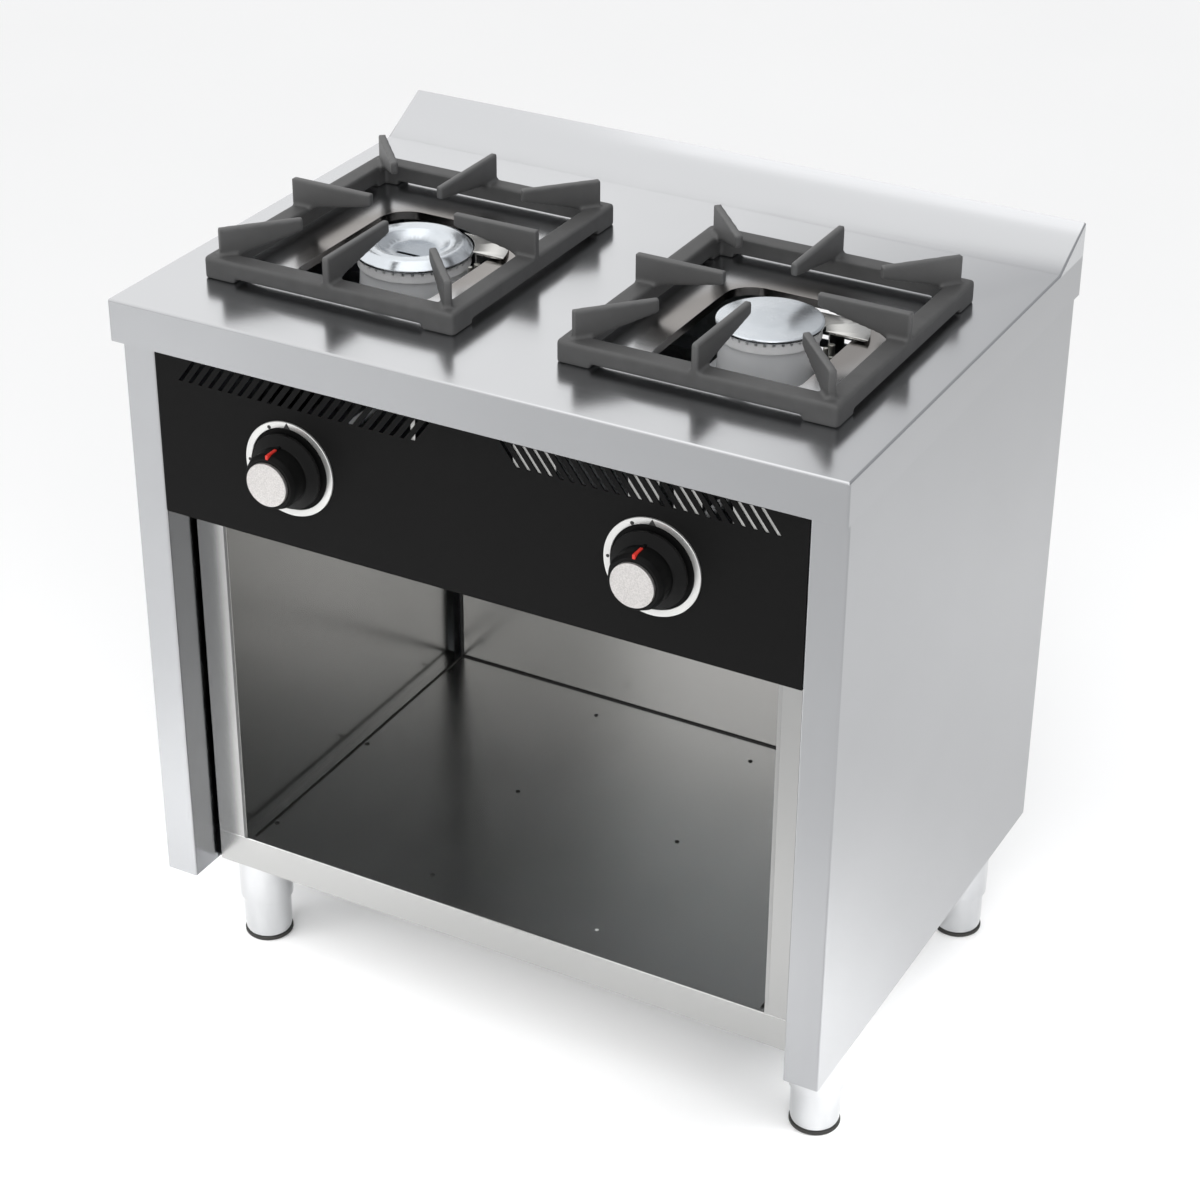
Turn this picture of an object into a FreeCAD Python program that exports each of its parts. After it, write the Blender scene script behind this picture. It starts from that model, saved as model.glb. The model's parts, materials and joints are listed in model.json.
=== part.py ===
"""Free-standing gas range with two open burners on an open cabinet.

Millimetres. +X is the viewer's right, +Y runs from the front to the back, +Z is up.
The floor is Z = 0, the middle of the width is X = 0, and Y = 0 is halfway between
the front of the knobs and the back of the worktop.
"""
import FreeCAD, Part
import math
import os
import re
import Sketcher

os.makedirs("parts", exist_ok=True)
doc = FreeCAD.newDocument("gas_range")

# ---------------------------------------------------------------- driving sizes
SIZES = {
    # how far each cut runs past the metal
    "overcut": 1,
    # worktop
    "worktop_width": 800,
    "worktop_depth": 580,
    "worktop_height": 801,
    "worktop_sheet": 1.5,
    "fold_drop": 45,
    "hem_width": 11,
    "edge_round": 2.5,
    "upstand_rise": 35,
    "upstand_run": 64,
    "opening_width": 156,
    "opening_depth": 210,
    "opening_forward": 15,
    "opening_round": 32,
    "collar_drop": 9,
    # cabinet sheet metal
    "body_sheet": 1.2,
    "foot_height": 111,
    "side_inset": 4,
    "panel_setback": 14.5,
    "post_width": 38,
    "post_return": 41.5,
    "rear_return": 20,
    "rear_inset": 2.5,
    "bend_round": 2,
    "seam_gap": 5,
    "cheek_setback": 56,
    "cheek_width": 43,
    "service_gap": 30,
    "shelf_rise": 40,
    "shelf_lip": 39,
    "shelf_side_flange": 15,
    "shelf_hole_radius": 2.25,
    "shelf_hole_inset": 40,
    "shelf_hole_margin": 6,
    "ceiling_clear": 0.8,
    "rear_setback": 45,
    "vent_width": 60,
    "vent_height": 5,
    "vent_pitch": 15,
    "vent_rows": 6,
    "vent_offset": 150,
    "vent_drop": 90,
    # base rails and feet
    "rail_sheet": 2,
    "rail_width": 106.8,
    "foot_left_inset": 72,
    "foot_right_inset": 36,
    "foot_front_inset": 97,
    "foot_back_inset": 95,
    "sleeve_radius": 29.5,
    "sleeve_wall": 3,
    "sleeve_length": 60,
    "sleeve_cap": 3,
    "leg_clearance": 0.08,
    "leg_wall": 3,
    "leg_floor": 6,
    "leg_engagement": 42,
    "pad_radius": 27,
    "pad_height": 5,
    "pad_lip": 1.5,
    "leg_flare": 10,
    "stud_radius": 5,
    "stud_length": 16,
    "stud_clearance": 0.4,
    "nut_radius": 9,
    "nut_height": 8,
    # control panel
    "panel_drop": 232,
    "panel_hidden": 24,
    "panel_sheet": 1.5,
    "panel_gap": 0.4,
    "panel_return": 20,
    "slot_width": 4.6,
    "slot_lean": 18,
    "slot_rise": 24,
    "slot_drop": 78,
    "slot_margin": 27,
    "slot_count": 24,
    "slot_start": 56,
    "burner_spacing": 403,
    # knobs
    "knob_drop": 144,
    "knob_stand_out": 42,
    "bezel_radius": 52,
    "bezel_bore": 44,
    "bezel_height": 2.5,
    "bezel_round": 1,
    "skirt_radius": 40,
    "skirt_back": 6.5,
    "skirt_edge": 3,
    "skirt_round": 1,
    "skirt_front": 14,
    "hub_radius": 29.5,
    "hub_front_radius": 26.5,
    "hub_shoulder": 34,
    "hub_front": 38.5,
    "hub_round": 2,
    "cap_radius": 23,
    "cap_seat": 36,
    "cap_round": 1,
    "pointer_width": 3,
    "pointer_depth": 1.2,
    "pointer_root": 1,
    "push_travel": 4,
    # gas taps
    "spindle_radius": 4,
    "spindle_grip": 22,
    "spindle_clearance": 0.05,
    "spindle_hole_clearance": 2,
    "bonnet_front": 12,
    "bonnet_length": 20,
    "bonnet_radius": 11,
    "tap_length": 44,
    "tap_radius": 16,
    "plug_radius": 9.5,
    "plug_clearance": 0.06,
    "plug_end_wall": 5,
    "plug_socket_depth": 22,
    "outlet_radius": 8,
    "outlet_length": 15,
    "saddle_width": 24,
    "saddle_wall": 2,
    "manifold_drop": 34,
    "pipe_radius": 10.65,
    "pipe_wall": 2.6,
    "pipe_overhang": 60.5,
    "pipe_inset": 66,
    "pipe_bend": 34,
    "pipe_seat": 0.1,
    "bracket_offset": 120,
    "bracket_width": 26,
    "bracket_sheet": 2,
    "bracket_foot": 28,
    "feed_radius": 5,
    "feed_wall": 1,
    "feed_grip": 8,
    # burners
    "burner_setback": 252.5,
    "right_crown_base": -2,
    "left_crown_base": -12,
    "crown_height": 11.5,
    "crown_seat": 1,
    "crown_wall": 9,
    "right_crown_radius": 51,
    "left_crown_radius": 58.5,
    "port_count": 36,
    "port_width": 3,
    "port_height": 4,
    "right_cap_radius": 53,
    "left_cap_radius": 61,
    "cap_edge": 3,
    "cap_rise": 3.5,
    "cap_spigot": 6,
    "cap_spigot_gap": 0.5,
    "spigot_chamfer": 1,
    "spigot_wall": 4,
    "cap_bevel_run": 3,
    "cap_bevel_rise": 1,
    "crest_radius": 49,
    "crest_rise": 8,
    "crest_half_width": 5,
    "crest_shoulder": 1.5,
    "dish_lip_run": 1.5,
    "dish_lip_drop": 2,
    "dish_radius": 35,
    "dish_depth": 10,
    "dish_floor_radius": 24,
    "dish_floor": 3,
    "dish_web": 1,
    "dish_slot_width": 26,
    "dish_slot_depth": 5,
    "dish_slot_place": 12,
    "bowl_neck_radius": 22,
    "bowl_wall": 5,
    "bowl_taper": 3,
    "bowl_drop": 40,
    "venturi_radius": 17,
    "venturi_bore": 12,
    "venturi_end": 118,
    "base_drop": 67,
    "base_sheet": 5,
    "base_width": 150,
    "stirrup_width": 20,
    "stirrup_sheet": 4,
    "holder_width": 24,
    "holder_height": 22,
    "nozzle_radius": 6,
    "nozzle_tip": 16,
    "cross_spacing": 140,
    "cross_width": 30,
    "cross_sheet": 2,
    "screw_radius": 2.5,
    "screw_head_radius": 4.5,
    "screw_head": 3.5,
    "screw_inset": 12,
    "screw_reach": 6,
    "screw_clearance": 0.1,
    # pilots
    "pilot_gap": 1.5,
    "pilot_plate_length": 40,
    "pilot_plate_front": 17,
    "pilot_plate_depth": 36,
    "pilot_plate_height": 3.5,
    "pilot_sheet": 1.5,
    "pilot_shelf_drop": 24,
    "pilot_shelf_reach": 14,
    "pilot_shelf_front": 14,
    "pilot_radius": 3.5,
    "pilot_place": 9,
    "pilot_top": 4,
    "pilot_length": 42,
    "probe_radius": 2.4,
    "probe_place": -5,
    "probe_top": 2,
    "probe_length": 50,
    "collet_radius": 5,
    "collet_height": 7,
    # pan supports
    "grate_width": 291,
    "grate_depth": 326,
    "grate_height": 23,
    "grate_bar": 22,
    "grate_round": 2.5,
    "grate_corner": 5,
    "arch_rise": 5,
    "arch_inset": 14,
    "finger_top": 51,
    "finger_sheet": 8,
    "finger_reach": 50,
    "finger_tip": 13,
    "finger_root": 4,
    "finger_knee": 1,
    "corner_inset": 12,
    "corner_reach": 86,
    # gas inlet
    "inlet_radius": 10.48,
    "inlet_length": 20,
    "shank_radius": 12.5,
    "shank_proud": 0.5,
    "union_radius": 18,
    "union_length": 14,
    "locknut_length": 7,
    "inlet_clearance": 0.5,
}

sheet = doc.addObject("Spreadsheet::Sheet", "Sizes")
for row, (alias, number) in enumerate(SIZES.items(), start=1):
    sheet.set(f"A{row}", alias)
    sheet.set(f"B{row}", str(number))
    sheet.setAlias(f"B{row}", alias)
doc.recompute()


# ---------------------------------------------------------------- places worked out from the sizes
def bound(text):
    """A size expression as the document reads it: every size name is looked up in the sheet."""
    def lookup(word):
        return "Sizes." + word.group() if word.group() in SIZES else word.group()
    return re.sub(r"[a-z][a-z_]*", lookup, text)


def value(text):
    """The number that a size expression gives now."""
    return float(sheet.evalExpression(bound(text)))


KNOB_OVERHANG = "(knob_stand_out - panel_setback)"
FRONT = f"(({KNOB_OVERHANG} - worktop_depth) / 2)"
REAR = f"({FRONT} + worktop_depth)"
FACE = f"({FRONT} + panel_setback)"
SKIN = "(worktop_width / 2 - side_inset)"
SKIN_INSIDE = f"({SKIN} - body_sheet)"
POST_INSIDE = f"({SKIN} - post_width)"
BODY_TOP = "(worktop_height - worktop_sheet)"
BODY_REAR = f"({REAR} - rear_inset)"
CHEEK_OUTSIDE = f"({POST_INSIDE} - seam_gap)"
CAVITY_SIDE = f"({CHEEK_OUTSIDE} - cheek_width)"
CHEEK_FACE = f"({FRONT} + cheek_setback)"
REAR_PANEL = f"({REAR} - rear_setback)"
CAVITY_BACK = f"({REAR_PANEL} - service_gap)"
CABINET_DEPTH = f"({CAVITY_BACK} - {CHEEK_FACE})"
SHELF_TOP = "(foot_height + shelf_rise)"
PANEL_BOTTOM = "(worktop_height - panel_drop)"
CEILING = f"({PANEL_BOTTOM} + panel_sheet)"
RAIL_BASE = "(foot_height + body_sheet)"
KNOB_AXIS = "(worktop_height - knob_drop)"
BURNER_SIDE = "(burner_spacing / 2)"
BURNER_PLACE = f"({FRONT} + burner_setback)"
TAP_FRONT = "(bonnet_front + bonnet_length)"
TAP_BACK = f"({TAP_FRONT} + tap_length)"
MANIFOLD_SETBACK = f"({TAP_FRONT} + tap_length / 2)"
MANIFOLD_HEIGHT = f"({KNOB_AXIS} - manifold_drop)"
CROSS_TOP = "(worktop_height - base_drop)"
PIPE_LANE = f"({SKIN} - pipe_inset)"
SIDES = {"left": -1, "right": 1}


# ---------------------------------------------------------------- ways of making a piece
def tie(item, prop, text):
    item.setExpression(prop, bound(text))


def place(item, x, y, z):
    """Ties the place of a piece or feature to three size expressions."""
    tie(item, "Placement.Base.x", x)
    tie(item, "Placement.Base.y", y)
    tie(item, "Placement.Base.z", z)


def span(side, near, far):
    """Low and high place of a stretch that lies between two distances on one side of the middle."""
    if side < 0:
        return f"-({far})", f"-({near})"
    return near, far


def new_body(label, x="0", y="0", z="0"):
    body = doc.addObject("PartDesign::Body", label)
    body.Label = label
    place(body, x, y, z)
    return body


def block(body, x, y, z, cut=False):
    """Adds, or cuts, a box given by its low and high place along X, Y and Z."""
    kind = "PartDesign::SubtractiveBox" if cut else "PartDesign::AdditiveBox"
    box = body.newObject(kind, body.Label + "_block")
    place(box, x[0], y[0], z[0])
    tie(box, "Length", f"({x[1]}) - ({x[0]})")
    tie(box, "Width", f"({y[1]}) - ({y[0]})")
    tie(box, "Height", f"({z[1]}) - ({z[0]})")
    return box


TURNS = {
    "X": FreeCAD.Rotation(FreeCAD.Vector(0, 1, 0), 90),
    "Y": FreeCAD.Rotation(FreeCAD.Vector(1, 0, 0), -90),
    "Z": FreeCAD.Rotation(),
}


def drum(body, x, y, z, radius, length, axis="Z", cut=False):
    """Adds, or cuts, a cylinder that starts at a place and runs along a positive axis."""
    kind = "PartDesign::SubtractiveCylinder" if cut else "PartDesign::AdditiveCylinder"
    cylinder = body.newObject(kind, body.Label + "_drum")
    cylinder.Placement = FreeCAD.Placement(FreeCAD.Vector(), TURNS[axis])
    place(cylinder, x, y, z)
    tie(cylinder, "Radius", radius)
    tie(cylinder, "Height", length)
    return cylinder


def sketch(body, role="XY_Plane", height="0"):
    """A sketch on one of the body's own origin planes, raised along the plane's normal."""
    drawing = body.newObject("Sketcher::SketchObject", body.Label + "_sketch")
    planes = [item for item in body.Origin.OriginFeatures if item.Role == role]
    drawing.AttachmentSupport = [(planes[0], "")]
    drawing.MapMode = "FlatFace"
    tie(drawing, "AttachmentOffset.Base.z", height)
    return drawing


def hold(drawing, kind, geometry, point, text):
    """Ties one distance from the sketch's origin to a size expression."""
    number = drawing.addConstraint(Sketcher.Constraint(kind, -1, 1, geometry, point, value(text)))
    tie(drawing, f"Constraints[{number}]", text)


def polygon(drawing, corners):
    """A closed outline whose corners are pairs of size expressions."""
    first = drawing.GeometryCount
    count = len(corners)
    points = [FreeCAD.Vector(value(x), value(y), 0) for x, y in corners]
    for index in range(count):
        drawing.addGeometry(Part.LineSegment(points[index], points[(index + 1) % count]), False)
    for index in range(count):
        joint = ("Coincident", first + index, 2, first + (index + 1) % count, 1)
        drawing.addConstraint(Sketcher.Constraint(*joint))
    for index, (x, y) in enumerate(corners):
        hold(drawing, "DistanceX", first + index, 1, x)
        hold(drawing, "DistanceY", first + index, 1, y)


def circle(drawing, x, y, radius):
    centre = FreeCAD.Vector(value(x), value(y), 0)
    ring = drawing.addGeometry(Part.Circle(centre, FreeCAD.Vector(0, 0, 1), value(radius)), False)
    hold(drawing, "DistanceX", ring, 3, x)
    hold(drawing, "DistanceY", ring, 3, y)
    number = drawing.addConstraint(Sketcher.Constraint("Radius", ring, value(radius)))
    tie(drawing, f"Constraints[{number}]", radius)


def rounded_rectangle(drawing, x, y, width, depth, radius):
    """A rectangle about a centre, with a quarter circle at each corner."""
    arcs = []
    for quarter, (side, end) in enumerate(((1, 1), (-1, 1), (-1, -1), (1, -1))):
        centre_x = f"{x} + {side} * ({width} / 2 - {radius})"
        centre_y = f"{y} + {end} * ({depth} / 2 - {radius})"
        centre = FreeCAD.Vector(value(centre_x), value(centre_y), 0)
        whole = Part.Circle(centre, FreeCAD.Vector(0, 0, 1), value(radius))
        start = quarter * math.pi / 2
        arc = drawing.addGeometry(Part.ArcOfCircle(whole, start, start + math.pi / 2), False)
        hold(drawing, "DistanceX", arc, 3, centre_x)
        hold(drawing, "DistanceY", arc, 3, centre_y)
        number = drawing.addConstraint(Sketcher.Constraint("Radius", arc, value(radius)))
        tie(drawing, f"Constraints[{number}]", radius)
        arcs.append(arc)
    for index, arc in enumerate(arcs):
        follower = arcs[(index + 1) % len(arcs)]
        start = drawing.getPoint(arc, 2)
        finish = drawing.getPoint(follower, 1)
        line = drawing.addGeometry(Part.LineSegment(start, finish), False)
        drawing.addConstraint(Sketcher.Constraint("Tangent", arc, 2, line, 1))
        drawing.addConstraint(Sketcher.Constraint("Tangent", line, 2, follower, 1))


def pad(body, drawing, length, both_ways=False, reverse=False):
    feature = body.newObject("PartDesign::Pad", body.Label + "_pad")
    feature.Profile = drawing
    feature.Midplane = both_ways
    feature.Reversed = reverse
    tie(feature, "Length", length)
    return feature


def pocket(body, drawing, length, both_ways=False, reverse=False):
    feature = body.newObject("PartDesign::Pocket", body.Label + "_pocket")
    feature.Profile = drawing
    feature.Midplane = both_ways
    feature.Reversed = reverse
    tie(feature, "Length", length)
    return feature


def turned(body, corners):
    """A solid of revolution about the body's Z axis, from (radius, height) corners."""
    drawing = sketch(body, "XZ_Plane")
    polygon(drawing, corners)
    feature = body.newObject("PartDesign::Revolution", body.Label + "_turned")
    feature.Profile = drawing
    feature.ReferenceAxis = (drawing, ["V_Axis"])
    feature.Angle = 360
    return feature


def round_edges(body, radius, chosen, kind="PartDesign::Fillet", size_name="Radius"):
    """Rounds the edges of the body so far that a rule picks by their shape and place."""
    doc.recompute()
    base = body.Tip
    names = [f"Edge{number}" for number, edge in enumerate(base.Shape.Edges, start=1) if chosen(edge)]
    feature = body.newObject(kind, body.Label + "_round")
    feature.Base = (base, names)
    tie(feature, size_name, radius)
    return feature


def ring_at(edge, radius, height):
    """True for a whole circle about the body's Z axis with this radius and height."""
    if not isinstance(edge.Curve, Part.Circle):
        return False
    near_height = abs(edge.Curve.Center.z - value(height)) < 0.01
    return near_height and abs(edge.Curve.Radius - value(radius)) < 0.01


def polar_copies(body, feature, count):
    pattern = body.newObject("PartDesign::PolarPattern", body.Label + "_ring")
    pattern.Originals = [feature]
    pattern.Axis = (feature.Profile[0], ["V_Axis"])
    pattern.Angle = 360
    tie(pattern, "Occurrences", count)
    body.Tip = pattern
    return pattern


def row_copies(body, feature, axis, pitch, count):
    pattern = body.newObject("PartDesign::LinearPattern", body.Label + "_row")
    pattern.Originals = [feature]
    pattern.Direction = (feature.Profile[0], [axis])
    tie(pattern, "Length", f"{pitch} * ({count} - 1)")
    tie(pattern, "Occurrences", count)
    body.Tip = pattern
    return pattern


def solid_piece(label, shape):
    """A piece whose shape is worked out from the sheet's sizes by the functions above."""
    piece = doc.addObject("Part::Feature", label)
    piece.Label = label
    piece.Shape = shape
    return piece


def corner(x, y, z):
    return FreeCAD.Vector(value(x), value(y), value(z))


# ---------------------------------------------------------------- worktop
def make_worktop():
    """One folded and welded sheet: front and side folds, sloping upstand, two burner openings."""
    body = new_body("worktop", "0", FRONT, "worktop_height")
    foot = "(worktop_depth - upstand_run)"
    slope = "(upstand_rise / upstand_run)"
    slant = f"sqrt(1 + {slope} ^ 2)"
    outside = sketch(body, "YZ_Plane")
    polygon(outside, [
        ("0", "-fold_drop"),
        ("0", "0"),
        (foot, "0"),
        ("worktop_depth", "upstand_rise"),
        ("worktop_depth", "-fold_drop"),
    ])
    pad(body, outside, "worktop_width", both_ways=True)

    def front_corner_or_long_edge(edge):
        box = edge.BoundBox
        half = value("worktop_width") / 2
        at_front = box.YMax < 0.01
        on_top = box.ZMin > -0.01
        outer_end = abs(abs(box.Center.x) - half) < 0.01
        return (at_front and box.ZMax > -0.01) or (on_top and outer_end)

    round_edges(body, "edge_round", front_corner_or_long_edge)
    inside = sketch(body, "YZ_Plane")
    polygon(inside, [
        ("worktop_sheet", "-fold_drop - worktop_sheet"),
        ("worktop_sheet", "-worktop_sheet"),
        (f"{foot} + worktop_sheet * ({slant} - 1) / {slope}", "-worktop_sheet"),
        ("worktop_depth - worktop_sheet",
         f"(upstand_run - worktop_sheet) * {slope} - worktop_sheet * {slant}"),
        ("worktop_depth - worktop_sheet", "-fold_drop - worktop_sheet"),
    ])
    pocket(body, inside, "worktop_width - 2 * worktop_sheet", both_ways=True)
    hem_side = "worktop_width / 2 - worktop_sheet"
    block(body, (f"-({hem_side})", hem_side), ("worktop_sheet / 2", "hem_width"),
          ("-fold_drop", "worktop_sheet - fold_drop"))
    for side in SIDES.values():
        collar = sketch(body, "XY_Plane", "-collar_drop")
        rounded_rectangle(collar, f"{side} * {BURNER_SIDE}", "(burner_setback - opening_forward)",
                          "(opening_width + 2 * worktop_sheet)", "(opening_depth + 2 * worktop_sheet)",
                          "(opening_round + worktop_sheet)")
        pad(body, collar, "collar_drop - worktop_sheet / 2")
    for side in SIDES.values():
        opening = sketch(body, "XY_Plane", "worktop_sheet")
        rounded_rectangle(opening, f"{side} * {BURNER_SIDE}", "(burner_setback - opening_forward)",
                          "opening_width", "opening_depth", "opening_round")
        pocket(body, opening, "collar_drop + 3 * worktop_sheet")


# ---------------------------------------------------------------- cabinet
def make_side_panel(name, side):
    """Outer side with its front post and returns, folded from one sheet."""
    body = new_body(f"{name}_side_panel")
    block(body, span(side, POST_INSIDE, SKIN), (FACE, BODY_REAR), ("foot_height", BODY_TOP))

    def upright_front_edge(edge):
        box = edge.BoundBox
        upright = box.ZLength > value(BODY_TOP) / 2
        return upright and box.YMax < value(FACE) + 0.01

    round_edges(body, "bend_round", upright_front_edge)
    hollow_height = ("foot_height + body_sheet", f"{BODY_TOP} - body_sheet")
    block(body, span(side, f"{POST_INSIDE} + body_sheet", SKIN_INSIDE),
          (f"{FACE} + body_sheet", f"{BODY_REAR} - body_sheet"), hollow_height, cut=True)
    block(body, span(side, f"{POST_INSIDE} - body_sheet", f"{POST_INSIDE} + 2 * body_sheet"),
          (f"{FACE} + post_return", f"{BODY_REAR} - rear_return"), hollow_height, cut=True)
    for foot, (x, y) in FEET.items():
        if foot.endswith(name):
            drum(body, x, y, "foot_height - body_sheet",
                 "sleeve_radius + stud_clearance", "3 * body_sheet", cut=True)


def make_cheek(name, side):
    """Inner side wall of the open cabinet, with its front flange beside the post."""
    body = new_body(f"{name}_inner_wall")
    block(body, span(side, CAVITY_SIDE, CHEEK_OUTSIDE),
          (CHEEK_FACE, f"{CHEEK_FACE} + body_sheet"), (SHELF_TOP, CEILING))
    block(body, span(side, CAVITY_SIDE, f"{CAVITY_SIDE} + body_sheet"),
          (CHEEK_FACE, f"{CAVITY_BACK} + body_sheet"), (SHELF_TOP, CEILING))

    def cavity_front_edge(edge):
        box = edge.BoundBox
        upright = box.ZLength > 1
        at_face = box.YMax < value(CHEEK_FACE) + 0.01
        return upright and at_face and abs(abs(box.Center.x) - value(CAVITY_SIDE)) < 0.01

    round_edges(body, "body_sheet * 0.9", cavity_front_edge)


def make_cabinet_back():
    body = new_body("cabinet_back")
    block(body, (f"-{CAVITY_SIDE}", CAVITY_SIDE), (CAVITY_BACK, f"{CAVITY_BACK} + body_sheet"),
          (SHELF_TOP, CEILING))


def make_shelf():
    """Bottom shelf: a tray turned down on all sides, with a deep front lip and drain holes."""
    body = new_body("shelf", "0", CHEEK_FACE, SHELF_TOP)
    depth = f"({CABINET_DEPTH} + 3 * body_sheet)"
    block(body, (f"-{CHEEK_OUTSIDE}", CHEEK_OUTSIDE), ("0", depth), ("-shelf_lip", "0"))
    round_edges(body, "bend_round", lambda edge: edge.BoundBox.YMax < 0.01 and edge.BoundBox.ZMin > -0.01)
    block(body, (f"body_sheet - {CHEEK_OUTSIDE}", f"{CHEEK_OUTSIDE} - body_sheet"),
          ("body_sheet", f"{depth} - body_sheet"), ("-shelf_lip - overcut", "-body_sheet"), cut=True)
    block(body, (f"-{CHEEK_OUTSIDE} - overcut", f"{CHEEK_OUTSIDE} + overcut"),
          ("body_sheet", f"{depth} + overcut"), ("-shelf_lip - overcut", "-shelf_side_flange"), cut=True)
    drawing = sketch(body, "XY_Plane")
    for column in (-1, -1 / 3, 1 / 3, 1):
        for line in (0, 0.5, 1):
            x = f"{column:.6f} * ({CAVITY_SIDE} - shelf_hole_margin)"
            y = f"shelf_hole_inset + {line} * ({CABINET_DEPTH} - 2 * shelf_hole_inset)"
            circle(drawing, x, y, "shelf_hole_radius")
    pocket(body, drawing, "3 * body_sheet")


def make_ceiling():
    """Plate over the cabinet that keeps the gas fittings apart from it."""
    body = new_body("cabinet_ceiling")
    side = f"{POST_INSIDE} - ceiling_clear"
    block(body, (f"-({side})", side), (f"{FACE} + panel_sheet", REAR_PANEL),
          (CEILING, f"{CEILING} + body_sheet"))


def make_rear_panel():
    """Outer back, set in to leave room for the gas pipe, with two groups of vents."""
    body = new_body("rear_panel", "0", REAR_PANEL, "0")
    block(body, (f"-{SKIN_INSIDE}", SKIN_INSIDE), ("0", "body_sheet"),
          (RAIL_BASE, f"{BODY_TOP} - body_sheet"))
    drum(body, PIPE_LANE, "-overcut", MANIFOLD_HEIGHT, "shank_radius + inlet_clearance",
         "body_sheet + 2 * overcut", "Y", cut=True)
    for side in SIDES.values():
        drawing = sketch(body, "XZ_Plane")
        middle = f"{side} * vent_offset"
        low = f"{BODY_TOP} - vent_drop"
        polygon(drawing, [
            (f"{middle} - vent_width / 2", low),
            (f"{middle} + vent_width / 2", low),
            (f"{middle} + vent_width / 2", f"{low} + vent_height"),
            (f"{middle} - vent_width / 2", f"{low} + vent_height"),
        ])
        vents = pocket(body, drawing, "4 * body_sheet", both_ways=True)
        vents = row_copies(body, vents, "V_Axis", "vent_pitch", "vent_rows")
        vents.Reversed = True


def make_base_rail(name, side):
    """Folded rail that carries two feet; its upright ends in front of the shelf's rear fold."""
    body = new_body(f"{name}_base_rail")
    inner = f"{SKIN_INSIDE} - rail_width"
    front = f"{CHEEK_FACE} + body_sheet + rail_sheet"
    block(body, span(side, inner, SKIN_INSIDE), (front, REAR_PANEL),
          (RAIL_BASE, f"{RAIL_BASE} + rail_sheet"))
    block(body, span(side, inner, f"{inner} + rail_sheet"), (front, f"{CAVITY_BACK} + body_sheet"),
          (RAIL_BASE, f"{SHELF_TOP} - body_sheet"))
    for foot, (x, y) in FEET.items():
        if foot.endswith(name):
            drum(body, x, y, f"{RAIL_BASE} - overcut", "stud_radius + stud_clearance",
                 "rail_sheet + 2 * overcut", cut=True)


def make_cross_rail(name, end):
    """Angle across the range that carries the burners' base plates."""
    body = new_body(f"{name}_cross_rail")
    free_edge = "cross_spacing / 2 - cross_width / 2"
    web_edge = "cross_spacing / 2 + cross_width / 2"
    x = (f"-{SKIN_INSIDE}", SKIN_INSIDE)
    flat = [f"{BURNER_PLACE} + {place}" for place in span(end, free_edge, web_edge)]
    upright = [f"{BURNER_PLACE} + {place}" for place in span(end, f"{web_edge} - cross_sheet", web_edge)]
    block(body, x, flat, (f"{CROSS_TOP} - cross_sheet", CROSS_TOP))
    block(body, x, upright, (f"{CROSS_TOP} - cross_width", CROSS_TOP))
    for side in SIDES.values():
        for shift in (-1, 1):
            drum(body, f"{side} * {BURNER_SIDE} + {shift} * (base_width / 2 - screw_inset)",
                 f"{BURNER_PLACE} + {end} * cross_spacing / 2", f"{CROSS_TOP} - 2 * cross_sheet",
                 "screw_radius + screw_clearance", "3 * cross_sheet", cut=True)


# ---------------------------------------------------------------- feet
FEET = {
    f"{end}_{side}": (x, y)
    for end, y in (("front", f"({FRONT} + foot_front_inset)"), ("back", f"({REAR} - foot_back_inset)"))
    for side, x in (("left", f"(foot_left_inset - {SKIN})"), ("right", f"({SKIN} - foot_right_inset)"))
}
SLEEVE_BOTTOM = f"({RAIL_BASE} - sleeve_length)"
SLEEVE_BORE = "(sleeve_radius - sleeve_wall)"


def make_foot_sleeves():
    """Four steel tubes closed at the top, each held under a base rail by its stud."""
    sleeves = doc.addObject("Part::Compound", "foot_sleeves")
    sleeves.Label = "foot_sleeves"
    sleeves.Links = [make_foot_sleeve(name) for name in FEET]


def make_foot_sleeve(name):
    x, y = FEET[name]
    body = new_body(f"{name}_foot_sleeve", x, y, SLEEVE_BOTTOM)
    turned(body, [
        (SLEEVE_BORE, "0"),
        ("sleeve_radius", "0"),
        ("sleeve_radius", "sleeve_length"),
        ("stud_radius", "sleeve_length"),
        ("stud_radius", "sleeve_length + stud_length"),
        ("0", "sleeve_length + stud_length"),
        ("0", "sleeve_length - sleeve_cap"),
        (SLEEVE_BORE, "sleeve_length - sleeve_cap"),
    ])
    return body


def make_foot_leg(name):
    """Lower part of the foot, a tube with a thick floor that screws up and down in the sleeve."""
    x, y = FEET[name]
    body = new_body(f"{name}_foot_leg", x, y, "pad_height")
    leg_radius = f"({SLEEVE_BORE} - leg_clearance)"
    leg_top = f"{SLEEVE_BOTTOM} - pad_height + leg_engagement"
    turned(body, [
        ("0", "0"),
        ("pad_radius - pad_lip", "0"),
        (leg_radius, "leg_flare"),
        (leg_radius, leg_top),
        (f"{leg_radius} - leg_wall", leg_top),
        (f"{leg_radius} - leg_wall", "leg_floor"),
        ("0", "leg_floor"),
    ])


def make_foot_pad(name):
    """Moulded ring and sole under the leg."""
    x, y = FEET[name]
    body = new_body(f"{name}_foot_pad", x, y, "0")
    turned(body, [
        ("0", "0"),
        ("pad_radius - pad_lip", "0"),
        ("pad_radius", "pad_lip"),
        ("pad_radius", "pad_height"),
        ("0", "pad_height"),
    ])


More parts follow.
